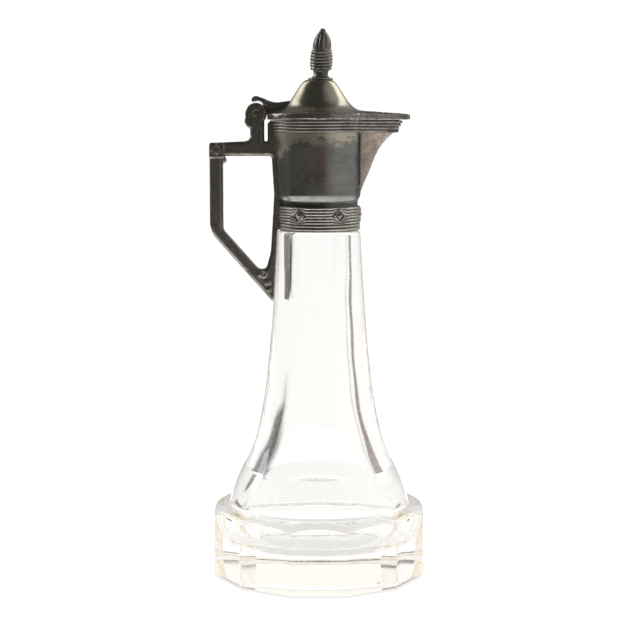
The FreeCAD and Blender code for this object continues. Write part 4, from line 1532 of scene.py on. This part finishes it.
@dataclass
class Handle:
    """The handle with its ears, block and scrolls."""

    thickness: float = 7.0
    relief: float = 0.34
    scroll_x: float = -21.6
    scroll_drop: float = 59.2
    ledge_drop: float = 15.2
    ledge_size: float = 1.3
    block: float = 5.9
    block_half: float = 3.9
    block_drop: float = 11.45

    def scrolls(self) -> list[bpy.types.Object]:
        """Raised curls on both faces above the lower tip, as rods.

        Returns:
            The rods.
        """
        mouth = high_mm("mount_barrel").z
        pieces = []
        turn = np.linspace(0.0, 1.6 * TURN, 60)
        for face in (-1, 1):
            for number, (x, drop, size, start, way) in enumerate((
                    (self.scroll_x, self.scroll_drop, 1.7, 0.4, 1),
                    (self.scroll_x + 1.6, self.scroll_drop + 3.1, 1.2, 2.6, -1),
                    (self.scroll_x + 2.3, self.scroll_drop + 5.9, 0.8, 0.9, 1))):
                reach = size * (0.12 + 0.88 * turn / turn[-1])
                points = np.column_stack([x + reach * np.cos(start + way * turn),
                                          np.full(len(turn), face * self.thickness / 2),
                                          mouth - drop + reach * np.sin(start + way * turn)])
                pieces.append(rod(f"curl_{face}_{number}", points, self.relief))
        return pieces

    def ledge(self) -> bpy.types.Object:
        """The small step below the corner block, inside the grip."""
        mouth = high_mm("mount_barrel").z
        x = low_mm("handle").x + 5.2
        half, count = self.thickness / 2 - 0.6, 24
        points = np.column_stack([np.full(count, x), np.linspace(-half, half, count),
                                  np.full(count, mouth - self.ledge_drop)])
        from_end = np.minimum(np.arange(count), np.arange(count)[::-1])
        taper = swing(from_end / 2)[:, None] * self.ledge_size
        rings = [points + np.array([math.cos(angle), 0.0, math.sin(angle)]) * taper
                 for angle in np.linspace(0, TURN, 12, endpoint=False)]
        return skin("ledge", np.array(rings))

    def block_lozenges(self, material: bpy.types.Material) -> list[bpy.types.Object]:
        """The lozenges on both faces of the corner block.

        Args:
            material: Their finish.

        Returns:
            The two pieces.
        """
        low = low_mm("handle")
        mouth = high_mm("mount_barrel").z
        made = []
        for name, side in (("near", -1), ("far", 1)):
            piece = lozenge(f"block_lozenge_{name}", self.block / 2 - 0.25, self.block / 2 - 0.25,
                            0.5, self.block_half - 0.5, self.block_half + 0.32, 0.1, 0.0)
            x, y, z = points_of(piece.data).T
            moved = np.column_stack([low.x + self.block / 2 - side * y, side * x,
                                     mouth - self.block_drop + z])
            move_points(piece.data, moved)
            write_hollow(piece.data, 0.4 - 2.4 * (x - self.block_half))
            made.append(hand_over(piece, material, Body.JUG, Finish.PEWTER, crease=22.0))
        return made

    def build(self, material: bpy.types.Material) -> bpy.types.Object:
        """Makes the handle.

        Args:
            material: Its finish.

        Returns:
            The piece.
        """
        self.block_lozenges(material)
        casting = Casting("handle_casting", "handle", Body.JUG, grain=0.24, skin_height=0.035,
                          seed=14.0)
        return casting.cast([*self.scrolls(), self.ledge()], material)


# --- the lid -------------------------------------------------------------------------------
@dataclass
class Lid:
    """The lid: a spun dome on a cast plate that runs out over the spout."""

    mount: Mount
    radius: float = 20.1
    tip: float = 35.0
    nose: float = 1.6
    edge: float = 1.7
    edge_round: float = 0.5
    wall: float = 0.9
    dome_height: float = 15.1
    top_radius: float = 4.8
    waist_radius: float = 10.7
    waist_rise: float = 7.7
    foot_radius: float = 18.5
    foot_rise: float = 2.6
    flat_run: float = 2.6
    hollow_radius: float = 14.8
    roof_rise: float = 3.3
    roof_fall: float = 0.075
    roof_pitch: float = 0.11
    hinge_clearance: float = 4.4
    hinge_half_width: float = 3.9

    def __post_init__(self) -> None:
        """Takes the lid's height and the hinge's place from the frame."""
        self.low = low_mm("lid_shell").z
        self.pivot_x = (low_mm("hinge_pin").x + high_mm("hinge_pin").x) / 2

    def dome(self, inset: float) -> np.ndarray:
        """The dome's outline from its top to its foot, moved in by the inset."""
        top = (self.top_radius - inset / 2, self.low + self.dome_height - inset)
        waist = (self.waist_radius - 0.8 * inset, self.low + self.waist_rise - 0.6 * inset)
        foot, spread, lift = (self.foot_radius, self.low + self.foot_rise), 3.9, 0.9
        if inset:
            foot, spread, lift = (self.hollow_radius, self.low), 0.8, 1.5
        return chain(
            line((0.0, top[1]), top, 7),
            bezier((top, (top[0] + 1.9, top[1] - 0.4), (waist[0] - 2.6, waist[1] + 3.8), waist),
                   22),
            bezier((waist, (waist[0] + 1.7, waist[1] - 2.5),
                    (foot[0] - spread, foot[1] + lift), foot), 22))

    def height(self, x: np.ndarray, y: np.ndarray, bell: np.ndarray) -> np.ndarray:
        """The upper surface: the bell, or the roof over the spout where that is higher."""
        ridge = self.roof_rise - self.roof_fall * (x - self.foot_radius)
        side = np.sqrt(y ** 2 + 0.6 ** 2) - 0.6
        roof = self.low + (ridge - self.roof_pitch * side) * swing((x - 9.5) / 6.5)
        return np.logaddexp((bell - self.low) * 5, (roof - self.low) * 5) / 5 + self.low

    def column(self, point: np.ndarray) -> np.ndarray:
        """The lid's section from its top's middle out to one point of its plan and back.

        Args:
            point: The plan point.

        Returns:
            Points (x, y, z).
        """
        reach = float(np.hypot(*point))
        ahead = point / reach
        if ahead[0] < 0 and abs(point[1]) < self.hinge_half_width:
            reach = min(reach, (self.pivot_x + self.hinge_clearance) / ahead[0])
        outer = self.dome(0.0)
        flat = line((self.foot_radius, 0.0), (reach - self.edge_round, 0.0), 22)[1:, 0]
        radii = np.concatenate([outer[:, 0], flat])
        slope = (self.foot_rise - self.edge) / self.flat_run
        bell = np.concatenate([outer[:, 1], self.low + np.maximum(
            self.foot_rise - slope * (flat - self.foot_radius), self.edge)])
        top = self.height(radii * ahead[0], radii * ahead[1], bell)
        top = top - (top[0] - self.low - self.dome_height) * (radii < 5)
        last, turn = top[-1], np.radians(np.linspace(90, 0, 5))[1:]
        size = self.edge_round
        rim_r = np.concatenate([reach - size + size * np.cos(turn), [reach],
                                reach - size * 0.8 + size * 0.8 * np.cos(-turn[::-1])])
        rim_z = np.concatenate([last - size + size * np.sin(turn), [(last + self.low) / 2],
                                self.low + size * 0.8 - size * 0.8 * np.sin(turn[::-1])])
        inner = self.dome(self.wall)[::-1]
        under = line((reach - size, 0.0), (self.hollow_radius, 0.0), 14)[1:-1, 0]
        all_r = np.concatenate([radii, rim_r, under, inner[:, 0]])
        all_z = np.concatenate([top, rim_z, np.full(len(under), self.low), inner[:, 1]])
        return np.column_stack([all_r * ahead[0], all_r * ahead[1], all_z])

    def build(self, dome: bpy.types.Material, plate_finish: bpy.types.Material
              ) -> bpy.types.Object:
        """Makes the lid's shell.

        Args:
            dome: Finish of its dome.
            plate_finish: Finish of its cast plate.

        Returns:
            The piece.
        """
        plan = self.mount.teardrop(self.radius, self.tip, self.nose, 230, 60)
        piece = skin("lid_shell_cast", np.array([self.column(point) for point in plan]))
        mark_hollows(piece.data, 0.7, 2)

        def plate(points: np.ndarray) -> np.ndarray:
            """How much of the rough cast skin applies: most at the edge and the front."""
            out = swing((np.hypot(points[:, 0], points[:, 1]) - 17.5) / 3)
            return out * (points[:, 2] > self.low + 0.15)

        roughen(piece, 0.16, 1.3, 41.0, plate)
        roughen(piece, 0.08, 0.5, 57.0, plate)
        hand_over(piece, dome, Body.LID, Finish.PEWTER, "lid_shell")
        piece.data.materials.append(plate_finish)
        for face in piece.data.polygons:
            centre = face.center / MM
            out = math.hypot(centre.x, centre.y)
            on_plate = out > self.foot_radius + 0.25 or (
                centre.x > self.foot_radius - 5.5 and centre.z < self.low + self.roof_rise + 0.1
                and out > self.foot_radius - 2)
            face.material_index = int(on_plate)
        return piece


@dataclass
class Finial:
    """The finial: a flange, a bent neck, a ringed knop and a lobed bud."""

    flange_radius: float = 4.8
    flange_height: float = 0.8
    neck_radius: float = 2.8
    neck_rise: float = 3.0
    rings_rise: float = 3.8
    rings: int = 6
    ring_pitch: float = 1.2
    ring_depth: float = 0.4
    ring_core: float = 3.3
    ring_swell: float = 0.7
    lobes: int = 8
    lobe_depth: float = 0.34
    offset: float = 0.6
    lean: float = 2.5
    stud_radius: float = 1.5
    thread_pitch: float = 0.7
    thread_depth: float = 0.13
    columns: int = 144

    def __post_init__(self) -> None:
        """Takes the heights from the frame."""
        self.seat = high_mm("lid_shell").z
        self.tip = high_mm("finial").z
        self.stud_low = low_mm("finial").z

    def outline(self) -> np.ndarray:
        """The finial's outline from the stud's end to its tip."""
        seat, flange = self.seat, self.flange_radius
        thread = line((self.stud_radius, self.stud_low + 0.3), (self.stud_radius, seat), 40)
        edge = [(flange - 0.25, seat + 0.01), (flange, seat + 0.2),
                (flange, seat + self.flange_height - 0.25),
                (flange - 0.25, seat + self.flange_height - 0.02),
                (flange - 0.8, seat + self.flange_height)]
        rings_z = seat + self.rings_rise
        neck = bezier(((flange - 0.8, seat + self.flange_height),
                       (self.neck_radius, seat + self.flange_height + 0.2),
                       (self.neck_radius - 0.1, seat + self.neck_rise - 0.8),
                       (self.neck_radius, seat + self.neck_rise)), 12)
        swell = bezier(((self.neck_radius, seat + self.neck_rise),
                        (self.neck_radius + 0.1, rings_z - 0.3),
                        (self.ring_core, rings_z)), 5)
        runs = [line((0, self.stud_low), (self.stud_radius - 0.3, self.stud_low), 3), thread,
                line((self.stud_radius, seat), edge[0], 3), np.array(edge), neck, swell]
        for index in range(self.rings):
            core = self.ring_core + self.ring_swell * math.sin(
                math.pi * (index + 1.6) / (self.rings + 2.2))
            share = np.linspace(0, 1, 9)
            bulge = core + self.ring_depth * np.sin(share * math.pi) ** 0.6
            runs.append(np.column_stack([bulge, rings_z + (index + share) * self.ring_pitch]))
        bud_z = rings_z + self.rings * self.ring_pitch
        lip = core + 0.12
        runs.append(np.array([(core, bud_z), (lip, bud_z + 0.1), (lip, bud_z + 0.45),
                              (core - 0.25, bud_z + 0.6)]))
        cap_z = self.tip - 1.1
        runs.append(bezier(((core - 0.25, bud_z + 0.6), (core + 0.25, bud_z + 3.6),
                            (2.6, cap_z - 1.4), (1.2, cap_z)), 34))
        runs.append(bezier(((1.2, cap_z), (1.2, cap_z + 0.5), (0.9, self.tip), (0, self.tip)), 9))
        return chain(*runs)

    def build(self, material: bpy.types.Material) -> bpy.types.Object:
        """Makes the finial.

        Args:
            material: Its finish.

        Returns:
            The piece.
        """
        grid = turned_grid(self.outline(), self.columns)
        x, y, z = np.moveaxis(grid, -1, 0)
        angle, radius = np.arctan2(y, x), np.hypot(x, y)
        bud_z = self.seat + self.rings_rise + self.rings * self.ring_pitch
        lobed = swing((z - bud_z - 0.5) / 0.8) * swing((self.tip - 1.2 - z) / 2.4)
        valley = 1 - np.abs(np.cos(self.lobes / 2 * angle)) ** 0.7
        radius = radius - self.lobe_depth * lobed * valley
        threaded = (z < self.seat - 0.2) & (radius > 1.0)
        spiral = np.sin(TURN * z / self.thread_pitch + angle)
        radius = radius + np.where(threaded, self.thread_depth * spiral - 0.1, 0.0)
        bent = math.radians(self.lean) * swing((z - self.seat) / 3)
        height = z - self.seat
        grid = np.stack([radius * np.cos(angle) + self.offset + np.sin(bent) * height,
                         radius * np.sin(angle), z - (1 - np.cos(bent)) * height], axis=-1)
        piece = skin("finial_turned", grid)
        mark_hollows(piece.data, 0.5, 1)
        roughen(piece, 0.025, 0.9, 71.0)
        return hand_over(piece, material, Body.LID, Finish.PEWTER, "finial", crease=45.0)


def dress_hidden(body: Body, names: Mapping[str, tuple[bpy.types.Material, Finish]]) -> None:
    """Gives CAD nodes whose shape is right their materials.

    Args:
        body: The body that they ride on.
        names: Material and slot for each node's name.
    """
    for name, (material, finish) in names.items():
        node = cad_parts[name]
        for place in node.material_slots:
            place.material = material
        LOG.info("%s: CAD node dressed on %s", name, body.value)


# --- the studio ----------------------------------------------------------------------------
@dataclass
class Studio:
    """A pale floor, soft light all round, and the camera."""

    camera_distance: float = 0.643
    camera_height: float = 0.173
    aim_height: float = 0.0997
    side: float = 0.0004
    lens: float = 93.3
    floor_radius: float = 0.32
    soft_light: float = 1.1
    backdrop: float = 1.04
    right_tint: Colour = (1.0, 0.84, 0.82)
    bounces: int = 24

    def camera(self) -> None:
        """Makes the camera, a little above the middle of the jug, without shift."""
        data = bpy.data.cameras.new("camera")
        data.lens = self.lens
        data.sensor_width = 36.0
        made = bpy.data.objects.new("camera", data)
        bpy.context.scene.collection.objects.link(made)
        made.location = (self.side, -self.camera_distance, self.camera_height)
        aim = Vector((self.side, 0.0, self.aim_height)) - made.location
        made.rotation_euler = aim.to_track_quat("-Z", "Y").to_euler()
        bpy.context.scene.camera = made

    def floor(self) -> None:
        """Makes the pale floor."""
        radius = self.floor_radius / MM
        grid = np.array([[(0, 0, 0), (radius * math.cos(angle), radius * math.sin(angle), 0)]
                         for angle in np.linspace(0, TURN, 64, endpoint=False)])
        piece = skin("studio_floor", grid, closed=False)
        material, graph, shader = new_material("pale_floor")
        feed(graph, shader, Base_Color=(0.55, 0.55, 0.55), Roughness=0.9,
             Emission_Color=(1.0, 1.0, 1.0), Emission_Strength=0.5)
        shader.inputs["Specular IOR Level"].default_value = 0.1
        piece.data.materials.append(material)

    def lamp(self, name: str, place: Vector, size: tuple[float, float], power: float,
             in_metal: bool) -> None:
        """Adds a soft lamp that faces the jug.

        Args:
            name: Its name.
            place: Where it hangs, in metres.
            size: Width and height, in metres.
            power: Its power in watts.
            in_metal: Whether it is reflected.
        """
        data = bpy.data.lights.new(name, "AREA")
        data.shape = "RECTANGLE"
        data.size, data.size_y = size
        data.energy = power
        made = bpy.data.objects.new(name, data)
        bpy.context.scene.collection.objects.link(made)
        made.location = place
        made.rotation_euler = (Vector((0, 0, 0.1)) - place).to_track_quat("-Z", "Y").to_euler()
        made.visible_camera = False
        made.visible_glossy = in_metal
        made.visible_transmission = False

    @staticmethod
    def in_metal(x: Wire, y: Wire, z: Wire) -> Wire:
        """What the metal reflects: two windows high up behind, a dim room around them.

        Args:
            x: The direction's part to the right.
            y: Its part away from the viewer.
            z: Its part upwards.

        Returns:
            The brightness in that direction.
        """
        behind = (y - 0.5 * z).ramp(-0.10, 0.14)
        window = abs(x).ramp(0.34, 0.52) * z.ramp(0.15, 0.45)
        far = window * 1.7 + (1.0 - window) * (0.12 + 0.3 * x.ramp(-0.2, 0.7))
        near = 0.03 + x.ramp(0.1, 0.75) * 0.36
        return behind * far + (1.0 - behind) * near

    @staticmethod
    def walls(x: Wire, y: Wire, z: Wire) -> tuple[Wire, Wire]:
        """The dark walls beside the backdrop, which the glass gathers into streaks.

        Args:
            x: The direction's part to the right.
            y: Its part away from the viewer.
            z: Its part upwards.

        Returns:
            How much of the left wall and of the right wall lies in that direction.
        """
        low = z.ramp(-0.10, -0.01) * z.ramp(0.25, 0.19) * (-x).ramp(0.34, 0.44)
        high = (z.ramp(0.36, 0.42) * z.ramp(0.62, 0.52) * (-x).ramp(0.22, 0.28)
                * (-x).ramp(0.46, 0.40))
        right = ((x + 0.12 * z.ramp(-0.05, 0.05)).ramp(0.62, 0.72) * y.ramp(0.50, 0.58)
                 * z.ramp(-0.24, -0.18) * z.ramp(0.26, 0.16))
        return (low + high) * y.ramp(0.05, 0.2), right

    def world(self) -> None:
        """Makes the surroundings: white behind and above, darker where the viewer stands."""
        world = bpy.data.worlds.new("studio")
        bpy.context.scene.world = world
        world.use_nodes = True
        world.node_tree.nodes.clear()
        graph = Graph(world.node_tree)
        x, y, z = graph.axes(graph.wire("ShaderNodeTexCoord", None, None, "Generated"))
        left_wall, right_wall = self.walls(x, y, z)
        through_glass = 1.03 - 0.86 * left_wall - 0.72 * right_wall
        rays = graph.node("ShaderNodeLightPath")
        reflected, passed, direct = (Wire(graph, rays.outputs[name]) for name in
                                     ("Is Glossy Ray", "Is Transmission Ray", "Is Camera Ray"))
        light = self.soft_light + reflected * (self.in_metal(x, y, z) - self.soft_light)
        light = light + passed * (through_glass - light)
        light = light + direct * (self.backdrop - light)
        tint = graph.mix(passed * right_wall, (1.0, 1.0, 1.0), self.right_tint)
        shader = graph.node("ShaderNodeBackground", None, {"Color": tint, "Strength": light})
        graph.node("ShaderNodeOutputWorld", None, {"Surface": shader.outputs["Background"]})

    def build(self) -> None:
        """Makes everything around the jug."""
        self.camera()
        self.floor()
        self.world()
        self.lamp("top_light", Vector((0.12, 0.1, 1.2)), (1.2, 1.2), 8.0, False)
        self.lamp("left_light", Vector((-0.8, 0.2, 0.5)), (0.2, 0.5), 1.2, True)
        cycles = bpy.context.scene.cycles
        cycles.max_bounces = cycles.transmission_bounces = cycles.glossy_bounces = self.bounces
        bpy.context.scene.view_settings.view_transform = "Standard"


def main() -> None:
    """Builds the jug's pieces and the studio in order, and reports each piece."""
    logging.basicConfig(level=logging.INFO, format="%(name)s: %(message)s")
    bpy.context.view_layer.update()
    Studio().build()
    Bottle().build()
    mount = Mount()
    cast = CAST_PEWTER.build()
    mount.barrel(BARREL_PEWTER.build())
    mount.spout(SPOUT_PEWTER.build())
    mount.seams(SOLDER.build())
    mount.rim(cast)
    mount.collar(cast)
    Handle().build(cast)
    Lid(mount).build(DOME_PEWTER.build(), PLATE_PEWTER.build())
    Casting("arm_casting", "lid_arm", Body.LID, grain=0.2, skin_height=0.04, seed=27.0
            ).cast([], cast)
    Finial().build(cast)
    brass, plaster, cork = BRASS.build(), PLASTER.build(), CORK.build()
    dress_hidden(Body.JUG, {"plaster_bed": (plaster, Finish.PLASTER),
                            "cork_seal": (cork, Finish.CORK),
                            "throat_ring": (cast, Finish.PEWTER),
                            "hinge_pin": (brass, Finish.BRASS)})
    dress_hidden(Body.LID, {"finial_washer": (brass, Finish.BRASS),
                            "finial_nut": (brass, Finish.BRASS)})


if __name__ == "__main__":
    main()
